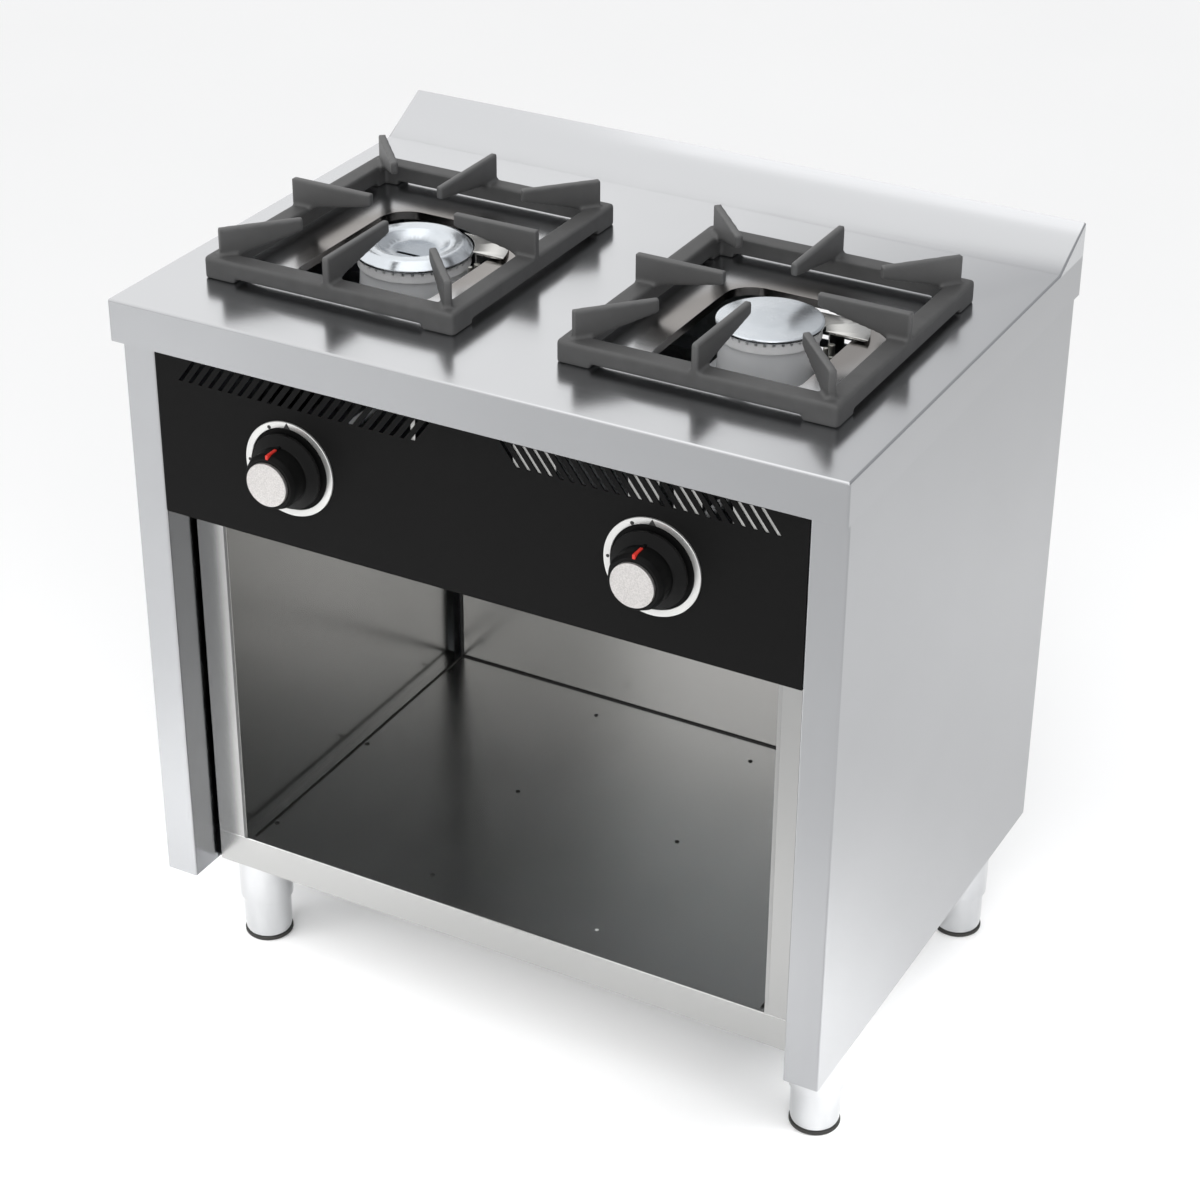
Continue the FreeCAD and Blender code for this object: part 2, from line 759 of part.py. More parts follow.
def make_foot_nuts():
    """Four hexagon nuts on the studs of the foot sleeves."""
    nuts = []
    for x, y in FEET.values():
        centre = corner(x, y, f"{RAIL_BASE} + rail_sheet")
        turns = [math.radians(60 * step) for step in range(6)]
        reach = value("nut_radius")
        rim = [centre + FreeCAD.Vector(math.cos(turn), math.sin(turn), 0) * reach for turn in turns]
        hexagon = Part.Face(Part.makePolygon(rim + rim[:1]))
        nut = hexagon.extrude(FreeCAD.Vector(0, 0, value("nut_height")))
        bore = Part.makeCylinder(value("stud_radius + screw_clearance"), value("nut_height"), centre)
        nuts.append(nut.cut(bore))
    return solid_piece("foot_nuts", Part.makeCompound(nuts))


# ---------------------------------------------------------------- control panel
PANEL_HALF = f"({POST_INSIDE} - panel_gap)"
PANEL_TOP = "(worktop_height - panel_hidden)"


def make_control_panel():
    """Fascia between the posts, with a return at top and bottom and two rows of leaning slots."""
    body = new_body("control_panel", "0", FACE, "0")
    x = (f"-{PANEL_HALF}", PANEL_HALF)
    block(body, x, ("0", "panel_return"), (PANEL_BOTTOM, PANEL_TOP))
    block(body, (f"-{PANEL_HALF} - overcut", f"{PANEL_HALF} + overcut"),
          ("panel_sheet", "panel_return + overcut"),
          (f"{PANEL_BOTTOM} + panel_sheet", f"{PANEL_TOP} - panel_sheet"), cut=True)
    for side in SIDES.values():
        drum(body, f"{side} * {BURNER_SIDE}", "-overcut", KNOB_AXIS,
             "spindle_radius + spindle_hole_clearance", "panel_sheet + 2 * overcut", "Y", cut=True)
    slot_pitch = f"(({PANEL_HALF} - slot_start - slot_width - slot_margin) / (slot_count - 1))"
    for side in SIDES.values():
        drawing = sketch(body, "XZ_Plane")
        low = "(worktop_height - slot_drop)"
        start = f"{side} * slot_start"
        across = f"{side} * slot_width"
        lean = f"{side} * slot_lean"
        polygon(drawing, [
            (start, low),
            (f"{start} + {across}", low),
            (f"{start} + {across} - {lean}", f"{low} + slot_rise"),
            (f"{start} - {lean}", f"{low} + slot_rise"),
        ])
        slot = pocket(body, drawing, "4 * panel_sheet", both_ways=True)
        slots = row_copies(body, slot, "H_Axis", slot_pitch, "slot_count")
        slots.Reversed = side < 0


def make_panel_screws():
    """Small screws that hold the panel's bottom return to the cabinet ceiling."""
    screws = []
    for side in (-1, 0, 1):
        x = f"{side} * ({CHEEK_OUTSIDE} - screw_inset)"
        head_base = corner(x, f"{FACE} + panel_return / 2", f"{PANEL_BOTTOM} - screw_head")
        head = Part.makeCylinder(value("screw_head_radius"), value("screw_head"), head_base)
        screws.append(head)
    return solid_piece("panel_screws", Part.makeCompound(screws))


# ---------------------------------------------------------------- knobs and taps
FACING_FRONT = FreeCAD.Rotation(FreeCAD.Vector(1, 0, 0), 90)


def knob_body(label, side, setback="0"):
    """A body on a knob's axis: its Z axis points out of the panel, towards the front."""
    body = doc.addObject("PartDesign::Body", label)
    body.Label = label
    body.Placement = FreeCAD.Placement(FreeCAD.Vector(), FACING_FRONT)
    place(body, f"{side} * {BURNER_SIDE}", f"{FACE} + {setback}", KNOB_AXIS)
    return body


def make_bezel(name, side):
    body = knob_body(f"{name}_bezel", side)
    turned(body, [
        ("bezel_bore", "0"),
        ("bezel_radius", "0"),
        ("bezel_radius", "bezel_height"),
        ("bezel_bore", "bezel_height"),
    ])
    round_edges(body, "bezel_round", lambda edge: ring_at(edge, "bezel_radius", "bezel_height"))


def make_knob(name, side):
    """Moulded knob: round skirt and tapered hub, bored for the spindle."""
    body = knob_body(f"{name}_knob", side)
    bore = "(spindle_radius + spindle_clearance)"
    grip_end = "(skirt_back + spindle_grip)"
    turned(body, [
        (bore, "skirt_back"),
        ("skirt_radius", "skirt_back"),
        ("skirt_radius", "skirt_back + skirt_edge"),
        ("hub_radius + hub_round", "skirt_front"),
        ("hub_radius", "skirt_front + hub_round"),
        ("hub_radius", "hub_shoulder - hub_round"),
        ("hub_front_radius", "hub_front"),
        ("cap_radius", "hub_front"),
        ("cap_radius", "cap_seat"),
        ("0", "cap_seat"),
        ("0", grip_end),
        (bore, grip_end),
    ])
    round_edges(body, "skirt_round", lambda edge: ring_at(edge, "skirt_radius", "skirt_back + skirt_edge"))
    half = "pointer_width / 2"
    block(body, (f"-{half}", half), ("hub_front_radius - pointer_root", "hub_radius + pointer_depth"),
          ("skirt_front - pointer_root", "hub_front - hub_round"))


def make_knob_cap(name, side):
    """Bright disc let into the front of the knob."""
    body = knob_body(f"{name}_knob_cap", side)
    turned(body, [
        ("0", "cap_seat"),
        ("cap_radius - spindle_clearance", "cap_seat"),
        ("cap_radius - spindle_clearance", "knob_stand_out"),
        ("0", "knob_stand_out"),
    ])
    round_edges(body, "cap_round",
                lambda edge: ring_at(edge, "cap_radius - spindle_clearance", "knob_stand_out"))


def make_spindle(name, side):
    """Tap spindle: pushes in and turns with the knob, and slides in the plug."""
    body = knob_body(f"{name}_tap_spindle", side)
    far_end = f"-({TAP_FRONT} + plug_socket_depth - push_travel - spindle_hole_clearance)"
    tip = "(skirt_back + spindle_grip)"
    drum(body, "0", "0", far_end, "spindle_radius", f"{tip} - ({far_end})")


def make_tap_body(name, side):
    """Brass tap body with its bonnet, its saddle on the gas pipe and its outlet."""
    body = knob_body(f"{name}_tap_body", side)
    plug_bore = "(plug_radius + plug_clearance)"
    spindle_bore = "(spindle_radius + spindle_clearance)"
    turned(body, [
        (spindle_bore, "-bonnet_front"),
        ("bonnet_radius", "-bonnet_front"),
        ("bonnet_radius", f"-{TAP_FRONT}"),
        ("tap_radius", f"-{TAP_FRONT}"),
        ("tap_radius", f"-{TAP_BACK}"),
        ("outlet_radius", f"-{TAP_BACK}"),
        ("outlet_radius", f"-{TAP_BACK} - outlet_length"),
        ("feed_radius + spindle_clearance", f"-{TAP_BACK} - outlet_length"),
        ("feed_radius + spindle_clearance", f"feed_grip - {TAP_BACK} - outlet_length"),
        ("feed_radius - feed_wall", f"feed_grip - {TAP_BACK} - outlet_length"),
        ("feed_radius - feed_wall", f"plug_end_wall - {TAP_BACK}"),
        (plug_bore, f"plug_end_wall - {TAP_BACK}"),
        (plug_bore, f"-{TAP_FRONT}"),
        (spindle_bore, f"-{TAP_FRONT}"),
    ])
    half = "saddle_width / 2"
    block(body, (f"-{half}", half), ("-manifold_drop", "-plug_radius - saddle_wall"),
          (f"-{MANIFOLD_SETBACK} - {half}", f"{half} - {MANIFOLD_SETBACK}"))
    drum(body, "-saddle_width", "-manifold_drop", f"-{MANIFOLD_SETBACK}", "pipe_radius + pipe_seat",
         "2 * saddle_width", "X", cut=True)


def make_tap_plug(name, side):
    """Turning plug inside the tap, with the socket that the spindle slides in."""
    body = knob_body(f"{name}_tap_plug", side)
    back = f"(plug_end_wall - {TAP_BACK} + plug_clearance)"
    front = f"(-{TAP_FRONT} - plug_clearance)"
    socket = "(spindle_radius + spindle_clearance)"
    turned(body, [
        (socket, front),
        ("plug_radius", front),
        ("plug_radius", back),
        ("0", back),
        ("0", f"{front} - plug_socket_depth"),
        (socket, f"{front} - plug_socket_depth"),
    ])


def make_gas_pipe():
    """Pipe behind the panel that feeds both taps, then turns back to the rear panel."""
    level = MANIFOLD_HEIGHT
    setback = f"{FACE} + {MANIFOLD_SETBACK}"
    radius = value("pipe_bend")
    start = corner(f"-({BURNER_SIDE} + pipe_overhang)", setback, level)
    knee = corner(PIPE_LANE, setback, level)
    end = corner(PIPE_LANE, f"{REAR_PANEL} - union_length", level)
    before = knee - FreeCAD.Vector(radius, 0, 0)
    after = knee + FreeCAD.Vector(0, radius, 0)
    chord = radius * math.sqrt(0.5)
    middle = knee + FreeCAD.Vector(chord - radius, radius - chord, 0)
    route = Part.Wire([
        Part.LineSegment(start, before).toShape(),
        Part.Arc(before, middle, after).toShape(),
        Part.LineSegment(after, end).toShape(),
    ])
    along = FreeCAD.Vector(1, 0, 0)
    tubes = []
    for size in ("pipe_radius", "pipe_radius - pipe_wall"):
        rim = Part.Wire(Part.Circle(start, along, value(size)).toShape())
        tubes.append(route.makePipeShell([rim], True, False))
    plug = Part.makeCylinder(value("pipe_radius"), value("pipe_wall"), start, along)
    return solid_piece("gas_pipe", tubes[0].cut(tubes[1]).fuse(plug).removeSplitter())


def make_pipe_brackets():
    """Two angle brackets that stand on the cabinet ceiling and hold the gas pipe."""
    brackets = []
    foot_level = f"{CEILING} + body_sheet"
    pipe_centre = f"{FACE} + {MANIFOLD_SETBACK}"
    for side in SIDES.values():
        x = f"{side} * bracket_offset - bracket_width / 2"
        base = corner(x, f"{pipe_centre} - bracket_sheet / 2", foot_level)
        upright = Part.makeBox(value("bracket_width"), value("bracket_sheet"),
                               value(f"{MANIFOLD_HEIGHT} - ({foot_level})"), base)
        foot = Part.makeBox(value("bracket_width"), value("bracket_foot"), value("bracket_sheet"), base)
        pipe = Part.makeCylinder(value("pipe_radius + pipe_seat"), value("2 * bracket_width"),
                                 corner(f"{x} - overcut", pipe_centre, MANIFOLD_HEIGHT),
                                 FreeCAD.Vector(1, 0, 0))
        brackets.append(upright.fuse(foot).cut(pipe).removeSplitter())
    return solid_piece("pipe_brackets", Part.makeCompound(brackets))


def make_inlet():
    """Gas inlet: a union inside the rear panel, a shank held by a locknut and a threaded end."""
    body = new_body("gas_inlet", PIPE_LANE, REAR_PANEL, MANIFOLD_HEIGHT)
    shank = "(body_sheet + locknut_length + shank_proud)"
    through = f"union_length + {shank} + inlet_length"
    drum(body, "0", "-union_length", "0", "union_radius", "union_length", "Y")
    drum(body, "0", "-union_length / 2", "0", "shank_radius", f"union_length / 2 + {shank}", "Y")
    drum(body, "0", "0", "0", "inlet_radius", f"{shank} + inlet_length", "Y")
    drum(body, "0", "-union_length - overcut", "0", "pipe_radius - pipe_wall",
         f"{through} + 2 * overcut", "Y", cut=True)
    nut = new_body("inlet_locknut", PIPE_LANE, f"{REAR_PANEL} + body_sheet", MANIFOLD_HEIGHT)
    drum(nut, "0", "0", "0", "union_radius", "locknut_length", "Y")
    drum(nut, "0", "-overcut", "0", "shank_radius + spindle_clearance", "locknut_length + 2 * overcut",
         "Y", cut=True)


def make_feed_tube(name, side):
    """Aluminium tube from the tap's outlet to the injector holder."""
    start = f"({FACE} + {TAP_BACK} + outlet_length - feed_grip)"
    length = f"{BURNER_PLACE} - holder_width / 2 - {start}"
    body = new_body(f"{name}_feed_tube", f"{side} * {BURNER_SIDE}", start, KNOB_AXIS)
    drum(body, "0", "0", "0", "feed_radius", length, "Y")
    drum(body, "0", "-overcut", "0", "feed_radius - feed_wall", f"{length} + 2 * overcut", "Y", cut=True)


# ---------------------------------------------------------------- burners
def burner_frame(label, side):
    """A body whose origin is on the burner's axis, level with the worktop."""
    return new_body(label, f"{side} * {BURNER_SIDE}", BURNER_PLACE, "worktop_height")


def make_injector(name, side):
    """Brass elbow under the burner, with the nozzle that points up into the mixing tube."""
    body = burner_frame(f"{name}_injector", side)
    half = "holder_width / 2"
    depth = "(stirrup_width / 2)"
    block(body, (f"-{depth}", depth), (f"-{half}", half),
          ("-knob_drop - holder_height / 2", "holder_height / 2 - knob_drop"))
    drum(body, "0", "0", "-knob_drop", "nozzle_radius", "holder_height / 2 + nozzle_tip")
    drum(body, "0", f"-{half} - overcut", "-knob_drop", "feed_radius - feed_wall", f"{half} + overcut",
         "Y", cut=True)


def make_burner_body(name, side):
    """Cast body: mixing tube, flared bowl, base plate on the cross rails, injector stirrup."""
    body = burner_frame(f"{name}_burner_body", side)
    top = f"{name}_crown_base"
    outer = f"({name}_crown_radius - bowl_taper)"
    turned(body, [
        ("venturi_bore", "-venturi_end"),
        ("venturi_radius", "-venturi_end"),
        ("venturi_radius", f"{top} - bowl_drop - bowl_neck_radius"),
        (f"{outer} + bowl_taper", f"{top} - bowl_drop"),
        (outer, top),
        (f"{outer} - bowl_wall", top),
        (f"{outer} - bowl_wall", f"{top} - bowl_drop + bowl_wall"),
        ("venturi_bore", f"{top} - bowl_drop - bowl_neck_radius + bowl_wall"),
    ])
    half = "base_width / 2"
    block(body, (f"-{half}", half), (f"-{half}", half), ("-base_drop", "base_sheet - base_drop"))
    inner = "stirrup_width / 2"
    for direction in (-1, 1):
        block(body, span(direction, inner, f"{inner} + stirrup_sheet"), (f"-{inner}", inner),
              ("-knob_drop - holder_height / 2", "bowl_wall - venturi_end"))
    drum(body, "0", "0", "-venturi_end", "venturi_bore", f"venturi_end + {top} - bowl_drop", cut=True)
    for x in (-1, 1):
        for y in (-1, 1):
            drum(body, f"{x} * ({half} - screw_inset)", f"{y} * cross_spacing / 2", "-base_drop - overcut",
                 "screw_radius + screw_clearance", "base_sheet + 2 * overcut", cut=True)


def make_crown(name, side):
    """Flame ring with open ports round its top edge."""
    body = burner_frame(f"{name}_flame_ring", side)
    base = f"{name}_crown_base"
    top = f"{base} + crown_height"
    radius = f"{name}_crown_radius"
    turned(body, [
        (f"{radius} - crown_wall", base),
        (radius, base),
        (radius, f"{base} + crown_seat"),
        (f"{radius} - crown_seat", top),
        (f"{radius} - crown_wall", top),
    ])
    drawing = sketch(body, "XZ_Plane", "0")
    polygon(drawing, [
        ("-port_width / 2", f"{top} - port_height"),
        ("port_width / 2", f"{top} - port_height"),
        ("port_width / 2", f"{top} + overcut"),
        ("-port_width / 2", f"{top} + overcut"),
    ])
    port = pocket(body, drawing, f"{radius} + overcut")
    polar_copies(body, port, "port_count")


def make_right_cap():
    """Closed cap with a low cone on top and a spigot that drops into the flame ring."""
    body = burner_frame("right_burner_cap", 1)
    seat = "right_crown_base + crown_height"
    spigot = "right_crown_radius - crown_wall - cap_spigot_gap"
    turned(body, [
        ("0", f"{seat} - cap_spigot"),
        (f"{spigot} - spigot_chamfer", f"{seat} - cap_spigot"),
        (spigot, f"{seat} - cap_spigot + spigot_chamfer"),
        (spigot, seat),
        ("right_cap_radius", seat),
        ("right_cap_radius", f"{seat} + cap_edge"),
        ("right_cap_radius - cap_bevel_run", f"{seat} + cap_edge + cap_bevel_rise"),
        ("0", f"{seat} + cap_edge + cap_rise"),
    ])


def make_left_cap():
    """Ring-shaped cap: sloping rim, rounded crest and a dished middle with an air slot."""
    body = burner_frame("left_burner_cap", -1)
    seat = "left_crown_base + crown_height"
    spigot = "left_crown_radius - crown_wall - cap_spigot_gap"
    crest = f"{seat} + cap_edge + crest_rise"
    floor = f"{crest} - dish_depth"
    turned(body, [
        ("0", f"{floor} - dish_floor"),
        ("dish_floor_radius", f"{floor} - dish_floor"),
        ("dish_radius", f"{seat} - dish_web"),
        (f"{spigot} - spigot_wall", f"{seat} - dish_web"),
        (f"{spigot} - spigot_wall", f"{seat} - cap_spigot"),
        (spigot, f"{seat} - cap_spigot"),
        (spigot, seat),
        ("left_cap_radius", seat),
        ("left_cap_radius", f"{seat} + cap_edge"),
        ("crest_radius + crest_half_width", f"{crest} - crest_shoulder"),
        ("crest_radius", crest),
        ("crest_radius - crest_half_width", crest),
        ("dish_radius + dish_lip_run", f"{crest} - dish_lip_drop"),
        ("dish_radius", f"{crest} - 2 * dish_lip_drop"),
        ("dish_floor_radius", floor),
        ("0", floor),
    ])
    block(body, ("-dish_slot_width / 2", "dish_slot_width / 2"),
          ("-dish_slot_place - dish_slot_depth / 2", "dish_slot_depth / 2 - dish_slot_place"),
          (f"{floor} - dish_floor - overcut", f"{floor} + overcut"), cut=True)


def make_pilot_bracket(name, side):
    """Bright folded bracket beside the burner: flame shield on top, shelf for pilot and probe."""
    body = burner_frame(f"{name}_pilot_bracket", side)
    near = f"({name}_cap_radius + pilot_gap)"
    far = f"({near} + pilot_plate_length)"
    y = ("pilot_plate_front", "pilot_plate_front + pilot_plate_depth")
    block(body, (near, far), y, ("pilot_plate_height - pilot_sheet", "pilot_plate_height"))
    block(body, (f"{far} - pilot_sheet", far), y, ("0", "pilot_plate_height"))
    block(body, (near, f"{near} + pilot_sheet"), y, ("base_sheet - base_drop", "pilot_plate_height"))
    shelf_y = ("-pilot_shelf_front", "pilot_plate_front + pilot_sheet")
    block(body, (near, f"{near} + pilot_shelf_reach"), shelf_y,
          ("-pilot_shelf_drop", "pilot_sheet - pilot_shelf_drop"))
    middle = f"{near} + pilot_shelf_reach / 2"
    for radius, setback in (("pilot_radius", "pilot_place"), ("probe_radius", "probe_place")):
        drum(body, middle, setback, "-pilot_shelf_drop - overcut", f"{radius} + spindle_clearance",
             "pilot_sheet + 2 * overcut", cut=True)


def make_pilot_piece(label, name, side, radius, setback, top, length):
    """A pilot burner or flame probe: a rod through the bracket's shelf, with its collet."""
    body = burner_frame(label, side)
    middle = f"{name}_cap_radius + pilot_gap + pilot_shelf_reach / 2"
    drum(body, middle, setback, f"-{top} - {length}", radius, length)
    drum(body, middle, setback, "pilot_sheet - pilot_shelf_drop", "collet_radius", "collet_height")


def make_burner_screws():
    """Screws through the burners' base plates into the cross rails."""
    screws = []
    for side in SIDES.values():
        for x in (-1, 1):
            for y in (-1, 1):
                foot = corner(f"{side} * {BURNER_SIDE} + {x} * (base_width / 2 - screw_inset)",
                              f"{BURNER_PLACE} + {y} * cross_spacing / 2",
                              f"{CROSS_TOP} - screw_reach")
                shank_length = value("screw_reach + base_sheet")
                shank = Part.makeCylinder(value("screw_radius"), shank_length, foot)
                head_foot = foot + FreeCAD.Vector(0, 0, shank_length)
                head = Part.makeCylinder(value("screw_head_radius"), value("screw_head"), head_foot)
                screws.append(shank.fuse(head).removeSplitter())
    return solid_piece("burner_screws", Part.makeCompound(screws))


# ---------------------------------------------------------------- pan supports
def finger(body, turn, outer, inner, root_height):
    """One upright blade, drawn in a plane turned about the support's middle."""
    drawing = sketch(body, "XZ_Plane")
    drawing.AttachmentOffset = FreeCAD.Placement(FreeCAD.Vector(),
                                                 FreeCAD.Rotation(FreeCAD.Vector(0, 1, 0), 1))
    tie(drawing, "AttachmentOffset.Rotation.Angle", turn)
    polygon(drawing, [
        (outer, root_height),
        (outer, "finger_top"),
        (inner, "finger_top"),
        (inner, "finger_top - finger_tip"),
        (f"{outer} - grate_bar - finger_sheet", "grate_height + finger_knee"),
        (f"{outer} - grate_bar", root_height),
    ])
    pad(body, drawing, "finger_sheet", both_ways=True)


def make_grate(name, side):
    """Cast iron pan support: arched frame, four middle fingers and four corner fingers."""
    body = burner_frame(f"{name}_pan_support", side)
    half_x = "(grate_width / 2)"
    half_y = "(grate_depth / 2)"
    block(body, (f"-{half_x}", half_x), (f"-{half_y}", half_y), ("0", "grate_height"))
    round_edges(body, "grate_corner", lambda edge: edge.BoundBox.ZLength > 1)
    round_edges(body, "grate_round", lambda edge: edge.BoundBox.ZMin > value("grate_height") - 0.01)
    block(body, (f"grate_bar - {half_x}", f"{half_x} - grate_bar"),
          (f"grate_bar - {half_y}", f"{half_y} - grate_bar"),
          ("-overcut", "grate_height + overcut"), cut=True)
    arch_x = f"{half_x} - grate_bar - arch_inset"
    arch_y = f"{half_y} - grate_bar - arch_inset"
    arch = ("-overcut", "arch_rise")
    block(body, (f"-({arch_x})", arch_x), (f"-{half_y} - overcut", f"{half_y} + overcut"), arch, cut=True)
    block(body, (f"-{half_x} - overcut", f"{half_x} + overcut"), (f"-({arch_y})", arch_y), arch, cut=True)
    root = "grate_height - finger_root"
    for turn, reach in (("0", half_x), ("90", half_y), ("180", half_x), ("270", half_y)):
        finger(body, turn, reach, "finger_reach", root)
    corner_x = f"({half_x} - corner_inset)"
    corner_y = f"({half_y} - corner_inset)"
    outer = f"sqrt({corner_x} ^ 2 + {corner_y} ^ 2)"
    lean = f"atan({corner_y} / {corner_x})"
    for turn in (lean, f"180 deg - {lean}", f"180 deg + {lean}", f"360 deg - {lean}"):
        finger(body, turn, outer, f"{outer} - corner_reach", root)


# ---------------------------------------------------------------- the whole range
def make_range():
    make_worktop()
    for name, side in SIDES.items():
        make_side_panel(name, side)
        make_cheek(name, side)
        make_base_rail(name, side)
    make_cabinet_back()
    make_shelf()
    make_ceiling()
    make_rear_panel()
    make_cross_rail("front", -1)
    make_cross_rail("back", 1)
    make_foot_sleeves()
    for name in FEET:
        make_foot_leg(name)
        make_foot_pad(name)
    make_foot_nuts()
    make_control_panel()
    make_panel_screws()
    make_gas_pipe()
    make_pipe_brackets()
    make_inlet()
    for name, side in SIDES.items():
        make_bezel(name, side)
        make_knob(name, side)
        make_knob_cap(name, side)
        make_spindle(name, side)
        make_tap_plug(name, side)
        make_tap_body(name, side)
        make_feed_tube(name, side)
        make_injector(name, side)
        make_burner_body(name, side)
        make_crown(name, side)
        make_pilot_bracket(name, side)
        make_pilot_piece(f"{name}_pilot_burner", name, side, "pilot_radius", "pilot_place",
                         "pilot_top", "pilot_length")
        make_pilot_piece(f"{name}_flame_probe", name, side, "probe_radius", "probe_place",
                         "probe_top", "probe_length")
        make_grate(name, side)
    make_left_cap()
    make_right_cap()
    make_burner_screws()


def check_document():
    """Stops if a feature failed or a piece is not a sound solid."""
    for item in doc.Objects:
        if "Invalid" in item.State or "Error" in item.State:
            raise RuntimeError(f"{item.Label} failed: {item.State}")
    for piece in pieces():
        shape = piece.Shape
        if shape.isNull() or not shape.isValid() or not shape.Solids:
            raise RuntimeError(f"{piece.Label} has no sound solid")


def pieces():
    """The objects that are pieces by themselves, leaving out those grouped into one node."""
    kinds = ("PartDesign::Body", "Part::Feature", "Part::Compound")
    grouped = [member for item in doc.Objects if item.TypeId == "Part::Compound" for member in item.Links]
    return [item for item in doc.Objects if item.TypeId in kinds and item not in grouped]


make_range()
doc.recompute()
check_document()
for piece in pieces():
    piece.Shape.exportStep(f"parts/{piece.Label}.step")
    box = piece.Shape.BoundBox
    print(f"{piece.Label}: {len(piece.Shape.Solids)} solids, {piece.Shape.Volume / 1000:.1f} cm3,",
          f"x {box.XMin:.1f}..{box.XMax:.1f}, y {box.YMin:.1f}..{box.YMax:.1f},",
          f"z {box.ZMin:.1f}..{box.ZMax:.1f}")
print(len(pieces()), "pieces")
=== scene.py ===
import bpy
import json
import math
from mathutils import Matrix, Vector

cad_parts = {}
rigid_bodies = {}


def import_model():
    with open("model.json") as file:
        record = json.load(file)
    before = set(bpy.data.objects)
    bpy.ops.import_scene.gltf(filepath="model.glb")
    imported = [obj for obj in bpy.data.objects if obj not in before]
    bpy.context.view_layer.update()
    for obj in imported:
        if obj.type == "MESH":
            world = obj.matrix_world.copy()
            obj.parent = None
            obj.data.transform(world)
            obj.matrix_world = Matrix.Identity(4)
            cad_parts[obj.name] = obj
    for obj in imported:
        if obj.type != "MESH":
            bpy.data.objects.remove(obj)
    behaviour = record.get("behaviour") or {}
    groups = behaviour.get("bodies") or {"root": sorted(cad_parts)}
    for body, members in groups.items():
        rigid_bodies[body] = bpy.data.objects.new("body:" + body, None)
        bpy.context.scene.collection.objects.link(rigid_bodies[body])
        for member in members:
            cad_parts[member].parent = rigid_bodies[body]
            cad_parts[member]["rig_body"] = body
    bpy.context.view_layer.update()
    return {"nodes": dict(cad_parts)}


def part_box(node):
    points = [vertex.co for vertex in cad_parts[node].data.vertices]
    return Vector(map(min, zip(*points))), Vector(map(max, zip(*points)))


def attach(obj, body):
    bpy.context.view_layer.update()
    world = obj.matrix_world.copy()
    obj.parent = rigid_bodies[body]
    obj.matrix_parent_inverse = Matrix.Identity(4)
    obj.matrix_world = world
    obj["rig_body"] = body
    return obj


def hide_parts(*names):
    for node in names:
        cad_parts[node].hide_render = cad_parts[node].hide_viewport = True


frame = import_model()


# ---------------------------------------------------------------- studio
# A pale seamless floor under a large soft sky, dimmer at the back right. Softboxes brighten
# the parts of the floor that the steel mirrors, and one lights the open cabinet. The camera
# stands where the photograph was taken from.
class Tone:
    """A shader value; Python arithmetic on it adds Math nodes."""

    def __init__(self, graph, socket):
        self.graph = graph
        self.socket = socket

    def math(self, operation, first, second):
        return self.graph.node("ShaderNodeMath", {"operation": operation}, {0: first, 1: second})

    def __add__(self, other):
        return self.math("ADD", self, other)

    def __radd__(self, other):
        return self.math("ADD", other, self)

    def __sub__(self, other):
        return self.math("SUBTRACT", self, other)

    def __rsub__(self, other):
        return self.math("SUBTRACT", other, self)

    def __mul__(self, other):
        return self.math("MULTIPLY", self, other)

    def __rmul__(self, other):
        return self.math("MULTIPLY", other, self)

    def __pow__(self, other):
        return self.math("POWER", self, other)


class Graph:
    """The nodes of one material or of the sky."""

    def __init__(self, tree):
        self.tree = tree
        tree.nodes.clear()

    def node(self, kind, settings, sockets, output=0):
        """Adds a node: its settings first, then the values or links of its sockets."""
        made = self.tree.nodes.new(kind)
        for name, value in settings.items():
            setattr(made, name, value)
        for key, value in sockets.items():
            if isinstance(value, Tone):
                self.tree.links.new(value.socket, made.inputs[key])
            else:
                made.inputs[key].default_value = value
        return Tone(self, made.outputs[output]) if len(made.outputs) else None

    def ramp(self, value, low, high):
        """0 below low, 1 above high, and a smooth rise between them."""
        settings = {"interpolation_type": "SMOOTHSTEP"}
        sockets = {"Value": value, "From Min": low, "From Max": high}
        return self.node("ShaderNodeMapRange", settings, sockets)

    def mix(self, mask, first, second):
        """One colour where the mask is 0, the other where it is 1."""
        return self.node("ShaderNodeMix", {"data_type": "RGBA"}, {0: mask, 6: first, 7: second}, 2)

    def axis(self, vector, index):
        """One of a vector's three numbers."""
        return self.node("ShaderNodeSeparateXYZ", {}, {"Vector": vector}, index)


def tint(code):
    """The linear colour of a hex code."""
    channels = [int(code[at:at + 2], 16) / 255 for at in (0, 2, 4)]
    linear = [c / 12.92 if c < 0.04045 else ((c + 0.055) / 1.055) ** 2.4 for c in channels]
    return (*linear, 1.0)


scene = bpy.context.scene
scene.view_settings.view_transform = "Standard"
scene.world = bpy.data.worlds.new("sky")
scene.world.use_nodes = True
sky = Graph(scene.world.node_tree)
look = sky.node("ShaderNodeTexCoord", {}, {}, 0)
back_right = 0.77 * sky.axis(look, 0) + 0.64 * sky.axis(look, 1)
dimmed = sky.ramp(back_right, 0.16, 0.36)
sky_colour = sky.mix(dimmed, tint("ffffff"), tint("a8a9ab"))
sky_light = sky.node("ShaderNodeBackground", {}, {"Color": sky_colour, "Strength": 1.18})
sky.node("ShaderNodeOutputWorld", {}, {"Surface": sky_light})


def softbox(name, place, target, size, power):
    """A square area light that the camera doesn't see."""
    light = bpy.data.lights.new(name, "AREA")
    light.size = size
    light.energy = power
    lamp = bpy.data.objects.new(name, light)
    lamp.location = place
    lamp.rotation_euler = (Vector(target) - Vector(place)).to_track_quat("-Z", "Y").to_euler()
    lamp.visible_camera = False
    scene.collection.objects.link(lamp)


